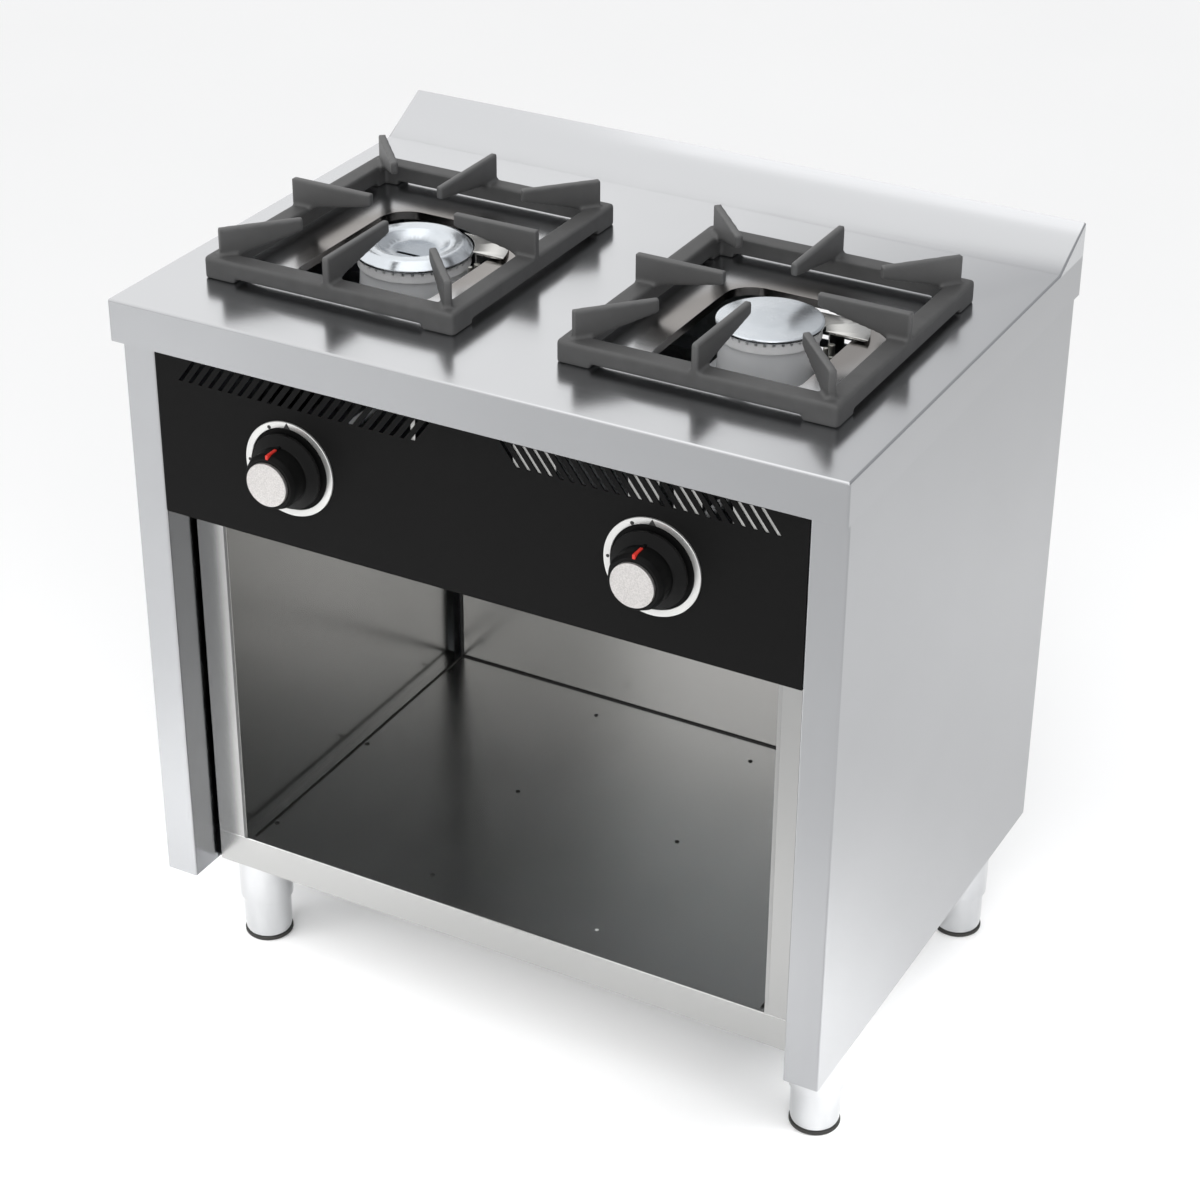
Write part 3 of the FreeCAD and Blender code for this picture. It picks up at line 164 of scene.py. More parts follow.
softbox("overhead", (0.2, -0.3, 2.6), (0.2, -0.3, 0.0), 2.4, 7)
softbox("far_left_floor", (-1.6, -1.6, 0.8), (-1.6, -1.6, 0.0), 0.6, 4)
softbox("mid_left_floor", (-1.0, -0.95, 0.6), (-1.0, -0.95, 0.0), 0.45, 1.8)
softbox("near_left_floor", (-0.62, -0.5, 0.35), (-0.62, -0.5, 0.0), 0.25, 1.3)
softbox("near_right_floor", (0.62, -0.1, 0.35), (0.62, -0.1, 0.0), 0.25, 2.0)
softbox("front_right", (1.1, -1.45, 1.15), (0.0, 0.0, 0.35), 0.6, 3.0)
softbox("front_floor_left", (-0.28, -0.5, 0.25), (-0.28, -0.5, 0.0), 0.3, 0.6)
softbox("front_floor_right", (0.12, -0.5, 0.25), (0.12, -0.5, 0.0), 0.3, 0.6)
softbox("far_right_floor", (0.8, 0.9, 0.7), (0.8, 0.9, 0.0), 0.5, 1.2)

floor_finish = bpy.data.materials.new("paper_floor")
floor_finish.use_nodes = True
paper = Graph(floor_finish.node_tree)
fibre = paper.node("ShaderNodeTexNoise", {}, {"Scale": 40.0, "Detail": 3.0})
paper_colour = paper.mix(fibre, tint("f8f8f8"), tint("fcfcfc"))
paper_skin = paper.node("ShaderNodeBsdfPrincipled", {}, {"Base Color": paper_colour, "Roughness": 0.95})
paper.node("ShaderNodeOutputMaterial", {}, {"Surface": paper_skin})
bpy.ops.mesh.primitive_plane_add(size=30)
floor = bpy.context.object
floor.name = "studio_floor"
floor.data.materials.append(floor_finish)

eye = Vector((1.2313, -2.2662, 1.9231))
ahead = Vector((-0.4121, 0.7614, -0.5004)).normalized()
rightward = Vector((0.8777, 0.4792, 0.0063))
rightward = (rightward - ahead * rightward.dot(ahead)).normalized()
upward = rightward.cross(ahead)
turned_to = Matrix((rightward, upward, -ahead)).transposed().to_4x4()
camera = bpy.data.objects.new("camera", bpy.data.cameras.new("camera"))
camera.data.sensor_width = 36
camera.data.lens = 83.82
camera.matrix_world = Matrix.Translation(eye) @ turned_to
scene.collection.objects.link(camera)
scene.camera = camera


# ---------------------------------------------------------------- worktop
# One sheet of satin stainless steel, pressed round two burner openings and folded down at
# the front and sides, with a raised strip at the back. The brushing runs along the range.
class Finish(Graph):
    """A material that is painted from the piece's own coordinates, in metres."""

    def __init__(self, name):
        self.material = bpy.data.materials.new(name)
        self.material.use_nodes = True
        super().__init__(self.material.node_tree)

    def position(self, scale=(1, 1, 1)):
        place = self.node("ShaderNodeTexCoord", {}, {}, 3)
        return self.node("ShaderNodeMapping", {}, {"Vector": place, "Scale": scale})

    def noise(self, scale, detail):
        """Cloudy values around 0.5; a different scale along each axis draws them out."""
        sockets = {"Vector": self.position(scale), "Scale": 1.0, "Detail": detail}
        return self.node("ShaderNodeTexNoise", {}, sockets)

    def bump(self, height, depth, strength):
        sockets = {"Height": height, "Distance": depth, "Strength": strength}
        return self.node("ShaderNodeBump", {}, sockets)

    def surface(self, **sockets):
        """Sets the Principled shader's sockets; an underscore stands for a space."""
        named = {key.replace("_", " "): value for key, value in sockets.items()}
        skin = self.node("ShaderNodeBsdfPrincipled", {}, named)
        self.node("ShaderNodeOutputMaterial", {}, {"Surface": skin})


def brushed(name, grain, light, dark, roughness, relief=1.0, metal=1.0, retone=None):
    """Brushed stainless steel; grain is the scale of the brushing along x, y and z.

    Where the last argument is given, it takes the finish, its tone and its handling marks, and returns
    the changed tone; the worktop's adds a painted highlight on its top and heat staining.
    """
    steel = Finish(name)
    brushing = steel.noise(grain, 3.0)
    cloud = steel.noise((5, 5, 5), 3.0)
    handling = steel.noise((17, 13, 15), 4.0)
    tone = steel.mix(0.55 * cloud + 0.45 * brushing, tint(dark), tint(light))
    if retone:
        tone = retone(steel, tone, handling)
    steel.surface(
        Base_Color=tone,
        Metallic=metal,
        Roughness=roughness - 0.08 + 0.1 * relief * brushing + 0.06 * handling,
        Normal=steel.bump(brushing, 0.00002, 0.35 * relief),
    )
    return steel.material


def alone(piece):
    """Makes a piece the only thing selected."""
    bpy.ops.object.select_all(action="DESELECT")
    piece.select_set(True)
    bpy.context.view_layer.objects.active = piece


def fitted(piece, node, finish):
    """Gives a piece its finish, and its node's body and place."""
    piece.data.materials.clear()
    piece.data.materials.append(finish)
    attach(piece, frame["nodes"][node]["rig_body"])
    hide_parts(node)
    return piece


def merged(node):
    """A copy of a node with its facets joined into whole faces."""
    piece = bpy.data.objects.new(f"{node}_skin", frame["nodes"][node].data.copy())
    scene.collection.objects.link(piece)
    alone(piece)
    bpy.ops.mesh.customdata_custom_splitnormals_clear()
    bpy.ops.object.mode_set(mode="EDIT")
    bpy.ops.mesh.select_all(action="SELECT")
    bpy.ops.mesh.remove_doubles(threshold=0.000005)
    bpy.ops.mesh.dissolve_limited(angle_limit=math.radians(0.3))
    bpy.ops.object.mode_set(mode="OBJECT")
    return piece


def eased(node, finish, width=0.0004, rounds=2):
    """A node with its sharp edges broken, smooth over its curves and flat on its flats."""
    piece = merged(node)
    bevel = piece.modifiers.new("edges", "BEVEL")
    bevel.width = width
    bevel.segments = rounds
    bevel.limit_method = "ANGLE"
    bevel.angle_limit = math.radians(38)
    bpy.ops.object.modifier_apply(modifier="edges")
    bpy.ops.object.shade_smooth_by_angle(angle=math.radians(45))
    normals = piece.modifiers.new("normals", "WEIGHTED_NORMAL")
    normals.keep_sharp = True
    bpy.ops.object.modifier_apply(modifier="normals")
    return fitted(piece, node, finish)


worktop_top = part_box("left_pan_support")[0].z
burner_side = 0.2015
burner_line = -0.02375
cool_radius = 0.155
hot_radius = 0.105


def top_highlight_and_heat_stain(steel, tone, handling):
    """Paler on top, a painted highlight, and browned by the heat round each burner."""
    place = steel.position()
    # Painted highlight: everything from the top face up is painted paler than the folds.
    painted_top_highlight = steel.ramp(steel.axis(place, 2), worktop_top - 0.003, worktop_top)
    off_axis = steel.node("ShaderNodeMath", {"operation": "ABSOLUTE"}, {0: steel.axis(place, 0)})
    across = off_axis - burner_side
    deep = steel.axis(place, 1) - burner_line
    from_burner = (across ** 2 + deep ** 2) ** 0.5
    heated = steel.ramp(from_burner + 0.02 * handling, cool_radius, hot_radius)
    pale = steel.mix(painted_top_highlight, tone, tint("c8c9cb"))
    return steel.mix(heated, pale, tint("8f8b88"))


worktop_steel = brushed("worktop_steel", (6, 900, 900), "aaabad", "a0a1a3", 0.19, retone=top_highlight_and_heat_stain)
eased("worktop", worktop_steel, 0.0003)


# ---------------------------------------------------------------- side panels
# Each side is one folded sheet of satin stainless steel: the outer skin, the post beside the
# opening and its return. The brushing runs up and down.
side_steel = brushed("side_steel", (900, 900, 6), "a9aaac", "a0a1a3", 0.22)
for side in ("left", "right"):
    eased(f"{side}_side_panel", side_steel, 0.0004)


# ---------------------------------------------------------------- cabinet walls
# The open cabinet's two walls and its back are bright mill-finish sheet, a little warmer than
# the outside. Each wall is one sheet, rolled round at the front into the flange by the post.
liner_steel = brushed("liner_steel", (500, 500, 500), "eceae7", "e8e6e3", 0.25, relief=0.0, metal=0.72)
back_steel = brushed("back_steel", (200, 1400, 1400), "c8c7c5", "c1c0be", 0.27, relief=0.06, metal=0.95)
# The flange's darker grey is a painted reflection of the post's return beside it.
flange_painted_reflection = brushed("flange_painted_reflection", (900, 900, 90), "a2a2a1", "9b9b9a", 0.26, relief=0.25)
eased("cabinet_back", back_steel)
wall_sheet = 0.0012
roll = 0.006
tolerance = 0.0001
for side, hand in (("left", -1), ("right", 1)):
    low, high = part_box(f"{side}_inner_wall")
    outside = max(abs(low.x), abs(high.x))
    inside = min(abs(low.x), abs(high.x))
    flat = outside - inside - roll
    flange_middle = (hand * (outside - flat / 2), low.y, (low.z + high.z) / 2)
    bpy.ops.object.select_all(action="DESELECT")
    bpy.ops.mesh.primitive_plane_add(size=1, rotation=(math.radians(90), 0, 0), location=flange_middle)
    wall = bpy.context.object
    wall.name = f"{side}_wall_sheet"
    wall.scale = (flat, high.z - low.z, 1)
    bpy.ops.object.transform_apply(location=True, rotation=True, scale=True)
    inner_edge = [abs(abs(corner.co.x) - inside - roll) < tolerance for corner in wall.data.vertices]
    for corner, chosen in zip(wall.data.vertices, inner_edge):
        corner.select = chosen
    for edge in wall.data.edges:
        edge.select = all(inner_edge[end] for end in edge.vertices)
    for face in wall.data.polygons:
        face.select = False
    bpy.ops.object.mode_set(mode="EDIT")
    bpy.ops.mesh.spin(steps=10, angle=-hand * math.radians(90), axis=(0, 0, 1),
                      center=(hand * (inside + roll), low.y + roll, 0))
    depth = high.y - low.y - roll
    bpy.ops.mesh.extrude_region_move(TRANSFORM_OT_translate={"value": (0, depth, 0)})
    bpy.ops.mesh.select_all(action="SELECT")
    bpy.ops.mesh.remove_doubles(threshold=0.00001)
    bpy.ops.mesh.normals_make_consistent(inside=False)
    bpy.ops.object.mode_set(mode="OBJECT")
    if wall.data.polygons[0].normal.y > 0:
        wall.data.flip_normals()
    thickness = wall.modifiers.new("sheet", "SOLIDIFY")
    thickness.thickness = wall_sheet
    thickness.offset = -1
    bpy.ops.object.modifier_apply(modifier="sheet")
    bpy.ops.object.shade_smooth_by_angle(angle=math.radians(30))
    fitted(wall, f"{side}_inner_wall", liner_steel)
    # The flange faces take the darker finish, the painted reflection.
    wall.data.materials.append(flange_painted_reflection)
    for face in wall.data.polygons:
        if abs(face.center.x) > inside + roll:
            face.material_index = 1


# ---------------------------------------------------------------- cabinet joints
# Dark beads paint the shadow in the gaps at the cabinet's inside corners: one run up each back corner,
# one along the foot of the back and one along the foot of each wall. Their width wanders a little, like
# a bead of sealant run by hand.
# Painted shadow: the beads' near-black finish stands for the dark gaps in the corners.
gap_shade = Finish("painted_gap_shade")
skin_grain = gap_shade.noise((300, 300, 300), 3.0)
gap_shade.surface(
    Base_Color=gap_shade.mix(skin_grain, tint("0c0c0c"), tint("1a1a1a")),
    Roughness=0.45 + 0.2 * skin_grain,
)
back_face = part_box("cabinet_back")[0].y
shelf_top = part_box("cabinet_back")[0].z
wall_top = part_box("cabinet_back")[1].z
wall_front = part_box("left_inner_wall")[0].y + roll
cavity_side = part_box("cabinet_back")[1].x


def added(piece, body, finish):
    """Gives a piece that has no node its finish and its body."""
    piece.data.materials.append(finish)
    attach(piece, body)


def bead(name, start, end, radius):
    """A round bead from one corner point to another, drawn out in short uneven lengths."""
    run = end - start
    turn = run.to_track_quat("Z", "Y").to_euler()
    bpy.ops.object.select_all(action="DESELECT")
    bpy.ops.mesh.primitive_circle_add(vertices=14, radius=radius, fill_type="NGON",
                                      location=start, rotation=turn)
    piece = bpy.context.object
    piece.name = name
    bpy.ops.object.transform_apply(location=True, rotation=True, scale=True)
    bpy.ops.object.mode_set(mode="EDIT")
    bpy.ops.mesh.select_all(action="SELECT")
    stretches = (1.06, 0.95, 1.03, 0.97, 1.05, 0.94, 1.02, 0.98)
    step = run / len(stretches)
    for count, widening in enumerate(stretches, start=1):
        bpy.ops.mesh.extrude_region_move(TRANSFORM_OT_translate={"value": step})
        bpy.ops.transform.resize(value=(widening, widening, widening),
                                 center_override=start + step * count)
    bpy.ops.mesh.select_all(action="SELECT")
    bpy.ops.mesh.normals_make_consistent(inside=False)
    bpy.ops.object.mode_set(mode="OBJECT")
    bpy.ops.object.shade_smooth_by_angle(angle=math.radians(50))
    added(piece, "root", gap_shade.material)


left_corner = Vector((-cavity_side, back_face, shelf_top))
right_corner = Vector((cavity_side, back_face, shelf_top))
bead("back_joint", left_corner, right_corner, 0.0022)
for side, corner in (("left", left_corner), ("right", right_corner)):
    bead(f"{side}_corner_joint", corner, Vector((corner.x, back_face, wall_top)), 0.0024)
    bead(f"{side}_wall_joint", Vector((corner.x, wall_front, shelf_top)), corner, 0.0016)


# ---------------------------------------------------------------- shelf
# The cabinet's floor, a tray with a deep front lip and drain holes, of the same sheet as the outside
# but rubbed dull and speckled by use. Small black plugs sit in all its holes but one, as painted shade
# for the dark seen down through the holes.
shelf_steel = Finish("shelf_steel")
speckle = shelf_steel.noise((1300, 1300, 1300), 2.0)
scuffs = shelf_steel.noise((9, 6, 6), 3.0)
brushing = shelf_steel.noise((8, 700, 700), 3.0)
lip_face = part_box("shelf")[0].y
shelf_y = shelf_steel.axis(shelf_steel.position(), 1)
lip = shelf_steel.ramp(shelf_y, lip_face + 0.003, lip_face + 0.001)
tray_tone = shelf_steel.mix(0.35 * scuffs + 0.65 * speckle, tint("bfbfbe"), tint("dededd"))
shelf_steel.surface(
    Base_Color=shelf_steel.mix(lip, tray_tone, tint("a4a4a3")),
    Metallic=1.0,
    Roughness=0.2 + 0.05 * speckle + 0.05 * scuffs,
    Normal=shelf_steel.bump(0.6 * brushing + 0.4 * speckle, 0.00001, 0.3),
)
eased("shelf", shelf_steel.material, 0.0005)
hole_columns = (-0.304, -0.10133, 0.10133, 0.304)
hole_lines = (-0.18025, 0.00425, 0.18875)
open_hole = (hole_columns[2], hole_lines[0])
plug_radius = 0.0026
plug_rise = (0, 0, 0.0005)
plug_rim = 0.0007
plug_crown = 0.0004


def stud(place, radius, sides, rise, rim, crown, rotation=(0, 0, 0)):
    """A small stud that stands up from a surface along rise, with a slanted rim on top."""
    bpy.ops.object.select_all(action="DESELECT")
    bpy.ops.mesh.primitive_circle_add(vertices=sides, radius=radius, fill_type="NGON",
                                      location=place, rotation=rotation)
    bpy.ops.object.transform_apply(location=True, rotation=True, scale=True)
    bpy.ops.object.mode_set(mode="EDIT")
    bpy.ops.mesh.select_all(action="SELECT")
    bpy.ops.mesh.extrude_region_move(TRANSFORM_OT_translate={"value": rise})
    bpy.ops.mesh.inset(thickness=rim, depth=crown)
    bpy.ops.mesh.select_all(action="SELECT")
    bpy.ops.mesh.normals_make_consistent(inside=False)
    bpy.ops.object.mode_set(mode="OBJECT")
    return bpy.context.object


# Painted shade: the black studs stand for the shadow under the holes.
shade_plugs = []
for hole_y in hole_lines:
    for hole_x in hole_columns:
        if (hole_x, hole_y) != open_hole:
            hole = (hole_x, hole_y, shelf_top)
            shade_plugs.append(stud(hole, plug_radius, 20, plug_rise, plug_rim, plug_crown))
alone(shade_plugs[0])
for plug in shade_plugs:
    plug.select_set(True)
bpy.ops.object.join()
shade_plugs[0].name = "drain_hole_shades"
added(shade_plugs[0], "root", gap_shade.material)


# ---------------------------------------------------------------- hidden sheet metal
# Ceiling, rear panel, rails and pipe brackets are galvanised sheet, which shows the zinc's
# crystals as pale and dark flakes. They are screwed and folded together out of sight.
zinc_sheet = Finish("zinc_sheet")
wander = zinc_sheet.noise((60, 60, 60), 2.0)
crystal = zinc_sheet.position((150, 150, 150))
flake = zinc_sheet.node("ShaderNodeTexVoronoi", {}, {"Vector": crystal, "Scale": 1.0}, 1)
shade = 0.7 * zinc_sheet.axis(flake, 0) + 0.3 * wander
zinc_sheet.surface(
    Base_Color=zinc_sheet.mix(shade, tint("9a9ea1"), tint("b2b6b9")),
    Metallic=1.0,
    Roughness=0.38 + 0.12 * shade,
    Normal=zinc_sheet.bump(shade, 0.00004, 0.3),
)
for node in ("cabinet_ceiling", "rear_panel", "left_base_rail", "right_base_rail",
             "front_cross_rail", "back_cross_rail", "pipe_brackets"):
    eased(node, zinc_sheet.material, 0.0003)


# ---------------------------------------------------------------- feet
# Four levelling feet: a polished tube under the cabinet, a leg that screws up into it, and a
# rubber pad that keeps the leg off the floor.
foot_steel = Finish("foot_steel")
turning = foot_steel.noise((20, 20, 2500), 2.0)
haze = foot_steel.noise((60, 60, 25), 3.0)
foot_steel.surface(
    Base_Color=foot_steel.mix(haze, tint("bcbdbf"), tint("d2d3d4")),
    Metallic=1.0,
    Roughness=0.1 + 0.06 * turning + 0.08 * haze,
    Normal=foot_steel.bump(turning, 0.00001, 0.3),
)
rubber = Finish("pad_rubber")
pores = rubber.noise((1500, 1500, 1500), 4.0)
dust = rubber.noise((80, 80, 80), 4.0)
rubber.surface(
    Base_Color=rubber.mix(dust, tint("1c1c1c"), tint("3a3936")),
    Roughness=0.7 + 0.2 * dust,
    Normal=rubber.bump(pores, 0.00008, 0.5),
)
eased("foot_sleeves", foot_steel.material, 0.0006, 3)
for foot in ("front_left", "front_right", "back_left", "back_right"):
    eased(f"{foot}_foot_leg", foot_steel.material, 0.0006, 3)
    eased(f"{foot}_foot_pad", rubber.material, 0.0006, 3)


# ---------------------------------------------------------------- control panel
# Steel sheet with a matte black powder coat, cut through by two rows of leaning air slots.
# It hangs from the worktop's front fold and turns in under the cabinet's ceiling.
powder = Finish("black_powder_coat")
peel = powder.noise((450, 450, 450), 3.0)
sheen = powder.noise((7, 7, 7), 3.0)
powder.surface(
    Base_Color=powder.mix(sheen, tint("0c0c0c"), tint("111111")),
    Roughness=0.5 + 0.1 * peel + 0.08 * sheen,
    Specular_IOR_Level=0.09,
    Normal=powder.bump(peel, 0.00006, 0.35),
)
eased("control_panel", powder.material, 0.0003)


# ---------------------------------------------------------------- slot plates
# Small bright plates are fixed to the back of the panel, each behind a few of the slots, and
# show through them as pale stripes.
pale_sheet = Finish("pale_sheet")
pale_cloud = pale_sheet.noise((60, 60, 60), 3.0)
pale_sheet.surface(
    Base_Color=pale_sheet.mix(pale_cloud, tint("9c9c9a"), tint("c4c4c2")),
    Metallic=0.2,
    Roughness=0.35 + 0.15 * pale_cloud,
)
panel_sheet = 0.0015
panel_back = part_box("control_panel")[0].y + panel_sheet
slot_middle = worktop_top - 0.0655
plate_sheet = 0.0008
plate_height = 0.028
plate_ends = ((-0.0605, -0.0555), (0.052, 0.098), (0.174, 0.206), (0.221, 0.25), (0.281, 0.333))


def bar(name, place, size, edge, rounds):
    """A small straight bar with its edges rounded."""
    bpy.ops.object.select_all(action="DESELECT")
    bpy.ops.mesh.primitive_cube_add(size=1, location=place, scale=size)
    piece = bpy.context.object
    piece.name = name
    bpy.ops.object.transform_apply(location=True, rotation=True, scale=True)
    bpy.ops.object.mode_set(mode="EDIT")
    bpy.ops.mesh.select_all(action="SELECT")
    bpy.ops.mesh.bevel(offset=edge, segments=rounds, affect="EDGES")
    bpy.ops.object.mode_set(mode="OBJECT")
    return piece


for count, (left_end, right_end) in enumerate(plate_ends):
    plate_place = ((left_end + right_end) / 2, panel_back + plate_sheet / 2, slot_middle)
    plate_size = (right_end - left_end, plate_sheet, plate_height)
    plate = bar(f"slot_plate_{count}", plate_place, plate_size, 0.0002, 2)
    added(plate, "root", pale_sheet.material)


# ---------------------------------------------------------------- screws and nuts
# Zinc-plated screws hold the panel and the burners, and a nut holds each foot. The plating
# has a faint yellow and blue cast.
plating = Finish("zinc_plating")
cast = plating.noise((90, 90, 90), 3.0)
scratches = plating.noise((1200, 300, 1200), 3.0)
plating.surface(
    Base_Color=plating.mix(cast, tint("b4b8bd"), tint("c4bfae")),
    Metallic=1.0,
    Roughness=0.24 + 0.14 * scratches + 0.08 * cast,
    Normal=plating.bump(scratches, 0.00002, 0.4),
)
for node in ("panel_screws", "burner_screws", "foot_nuts"):
    eased(node, plating.material, 0.0006, 3)


# ---------------------------------------------------------------- dials
# A bright ring is pressed on the panel round each knob, with its marks printed in black: a
# pointer at the top for off, and two dots for the flames.
ring_metal = Finish("ring_metal")
satin = ring_metal.noise((400, 400, 400), 3.0)
drift = ring_metal.noise((30, 30, 30), 2.0)
ring_metal.surface(
    Base_Color=ring_metal.mix(drift, tint("d2d2d0"), tint("e2e2e0")),
    Metallic=0.85,
    Roughness=0.3 + 0.12 * satin,
    Normal=ring_metal.bump(satin, 0.00003, 0.4),
)
print_ink = Finish("print_ink")
ink_grain = print_ink.noise((900, 900, 900), 2.0)
print_ink.surface(
    Base_Color=print_ink.mix(ink_grain, tint("101010"), tint("1c1c1c")),
    Roughness=0.45 + 0.2 * ink_grain,
)
facing_front = (math.radians(90), 0, 0)


def turned(name, centre, rings):
    """Draws a circle out through rings of (radius, height above the panel), back to the first."""
    last_radius, last_height = rings[0]
    bpy.ops.object.select_all(action="DESELECT")
    bpy.ops.mesh.primitive_circle_add(vertices=96, radius=last_radius, rotation=facing_front,
                                      location=centre - Vector((0, last_height, 0)))
    piece = bpy.context.object
    piece.name = name
    bpy.ops.object.transform_apply(location=True, rotation=True, scale=True)
    bpy.ops.object.mode_set(mode="EDIT")
    bpy.ops.mesh.select_all(action="SELECT")
    for radius, height in rings[1:] + rings[:1]:
        step = last_height - height
        growth = radius / last_radius
        bpy.ops.mesh.extrude_region_move(TRANSFORM_OT_translate={"value": (0, step, 0)})
        bpy.ops.transform.resize(value=(growth, 1, growth), center_override=centre)
        last_radius, last_height = radius, height
    bpy.ops.mesh.select_all(action="SELECT")
    bpy.ops.mesh.remove_doubles(threshold=0.00001)
    bpy.ops.mesh.normals_make_consistent(inside=False)
    bpy.ops.object.mode_set(mode="OBJECT")
    bpy.ops.object.shade_smooth_by_angle(angle=math.radians(35))
    return piece


ring_profile = [(0.044, 0.0), (0.051, 0.0), (0.051, 0.0016), (0.0508, 0.002), (0.0505, 0.0022),
                (0.05, 0.0022), (0.0446, 0.0018), (0.0442, 0.0017), (0.044, 0.0014)]
mark_radius = 0.0463
mark_foot = 0.0016
mark_rise = (0, -0.0006, 0)
marks = (("off_mark", 0, 3, 0.0044), ("full_mark", 27, 24, 0.002), ("low_mark", 90, 24, 0.0017))
dials = {}
for side in ("left", "right"):
    low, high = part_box(f"{side}_bezel")
    dials[side] = Vector(((low.x + high.x) / 2, high.y, (low.z + high.z) / 2))
for side, dial in dials.items():
    ring = turned(f"{side}_dial_ring", dial, ring_profile)
    fitted(ring, f"{side}_bezel", ring_metal.material)
    for name, degrees, sides, size in marks:
        turn = math.radians(degrees)
        reach = Vector((-mark_radius * math.sin(turn), -mark_foot, mark_radius * math.cos(turn)))
        mark = stud(dial + reach, size, sides, mark_rise, 0.0001, 0.00003, facing_front)
        mark.name = f"{side}_{name}"
        added(mark, "root", print_ink.material)


# ---------------------------------------------------------------- knobs
# Turned-looking black moulded knobs with a wide skirt behind the hub. A red line is let into
# the rib on top, and a speckled metal disc into the front.
plastic = Finish("knob_moulding")
mould = plastic.noise((1100, 1100, 1100), 3.0)
touch = plastic.noise((45, 45, 45), 3.0)
plastic.surface(
    Base_Color=plastic.mix(touch, tint("080808"), tint("0d0d0d")),
    Roughness=0.42 + 0.1 * touch + 0.06 * mould,
    Specular_IOR_Level=0.13,
    Normal=plastic.bump(mould, 0.00003, 0.35),
)
red_line = Finish("red_line")
red_grain = red_line.noise((700, 700, 700), 2.0)
red_line.surface(
    Base_Color=red_line.mix(red_grain, tint("c8241c"), tint("e03a2c")),
    Roughness=0.4 + 0.15 * red_grain,
)
disc_metal = Finish("disc_metal")
dapple = disc_metal.noise((900, 900, 900), 4.0)
sparkle = disc_metal.ramp(dapple, 0.3, 0.7)
disc_metal.surface(
    Base_Color=disc_metal.mix(sparkle, tint("bdbab8"), tint("d6d3d1")),
    Metallic=0.85,
    Roughness=0.32 + 0.16 * sparkle,
    Normal=disc_metal.bump(dapple, 0.00005, 0.4),
)
pointer_place = Vector((0, -0.0305, 0.0287))
pointer_size = (0.0031, 0.016, 0.0047)
for side, dial in dials.items():
    eased(f"{side}_knob", plastic.material, 0.0005, 3)
    eased(f"{side}_knob_cap", disc_metal.material, 0.0006, 3)
    pointer = bar(f"{side}_pointer", dial + pointer_place, pointer_size, 0.0004, 3)
    bpy.ops.object.shade_smooth_by_angle(angle=math.radians(40))
    added(pointer, f"{side}_knob", red_line.material)


# ---------------------------------------------------------------- taps and gas line
# Brass taps sit on a steel pipe behind the panel. A bent tube runs from each tap to its
# brass injector, and the pipe leaves through the rear panel as a threaded inlet.
brass = Finish("tap_brass")
tarnish = brass.noise((50, 50, 50), 4.0)
brass.surface(
    Base_Color=brass.mix(tarnish, tint("a8873f"), tint("d1b266")),
    Metallic=1.0,
    Roughness=0.24 + 0.22 * tarnish,
    Normal=brass.bump(tarnish, 0.00003, 0.3),
)
for side in ("left", "right"):
    for part in ("tap_body", "tap_plug", "injector"):
        eased(f"{side}_{part}", brass.material)
    eased(f"{side}_tap_spindle", plating.material)
for node in ("gas_pipe", "gas_inlet", "inlet_locknut"):
    eased(node, plating.material)


# ---------------------------------------------------------------- burners
# Sand-cast aluminium bowls with a machined crown on top, whose edge is cut with gas ports.
# The mixing tube points forward to the injector.
casting = Finish("cast_aluminium")
sand = casting.noise((900, 900, 900), 4.0)
heat = casting.noise((22, 22, 30), 3.0)
casting.surface(
    Base_Color=casting.mix(heat, tint("e8eaec"), tint("f5f6f8")),
    Metallic=0.2,
    Roughness=0.26 + 0.14 * sand + 0.08 * heat,
    Normal=casting.bump(sand, 0.00012, 0.45),
)
ring_casting = Finish("machined_aluminium")
glint = ring_casting.noise((500, 500, 500), 2.0)
ring_casting.surface(
    Base_Color=ring_casting.mix(glint, tint("f0f1f2"), tint("fbfbfc")),
    Metallic=0.15,
    Roughness=0.18 + 0.12 * glint,
)
for side in ("left", "right"):
    eased(f"{side}_burner_body", casting.material, 0.001, 3)
    eased(f"{side}_flame_ring", ring_casting.material, 0.0004)
    eased(f"{side}_feed_tube", casting.material)


# ---------------------------------------------------------------- burner caps
# Loose machined caps: an open ring round a dished hub on the left, a closed domed disc on the right.
# Fine tool rings run round each, and a blue-grey painted shade darkens the middle, deep in the left
# cap's dish and faint on the right cap.
for side, shade_radius, shade_strength in (("left", 0.024, 0.75), ("right", 0.022, 0.1)):
    low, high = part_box(f"{side}_burner_cap")
    axis = (low + high) / 2
    cap_metal = Finish(f"{side}_cap_metal")
    spot = cap_metal.position()
    across = cap_metal.axis(spot, 0) - axis.x
    deep = cap_metal.axis(spot, 1) - axis.y
    from_centre = (across ** 2 + deep ** 2) ** 0.5
    ridges = cap_metal.node("ShaderNodeMath", {"operation": "SINE"}, {0: from_centre * 9000})
    stain = cap_metal.noise((40, 40, 40), 3.0)
    # Painted shade: blue-grey over the middle of the cap, strongest in the left cap's dish.
    painted_shade = cap_metal.ramp(from_centre + 0.01 * stain, shade_radius + 0.012, shade_radius)
    silver = cap_metal.mix(stain, tint("c6ccd2"), tint("dde1e5"))
    cap_metal.surface(
        Base_Color=cap_metal.mix(shade_strength * painted_shade, silver, tint("7f868e")),
        Metallic=1.0,
        Roughness=0.2 + 0.1 * stain + 0.02 * ridges,
        Normal=cap_metal.bump(ridges, 0.000012, 0.4),
    )
    eased(f"{side}_burner_cap", cap_metal.material, 0.0008, 3)


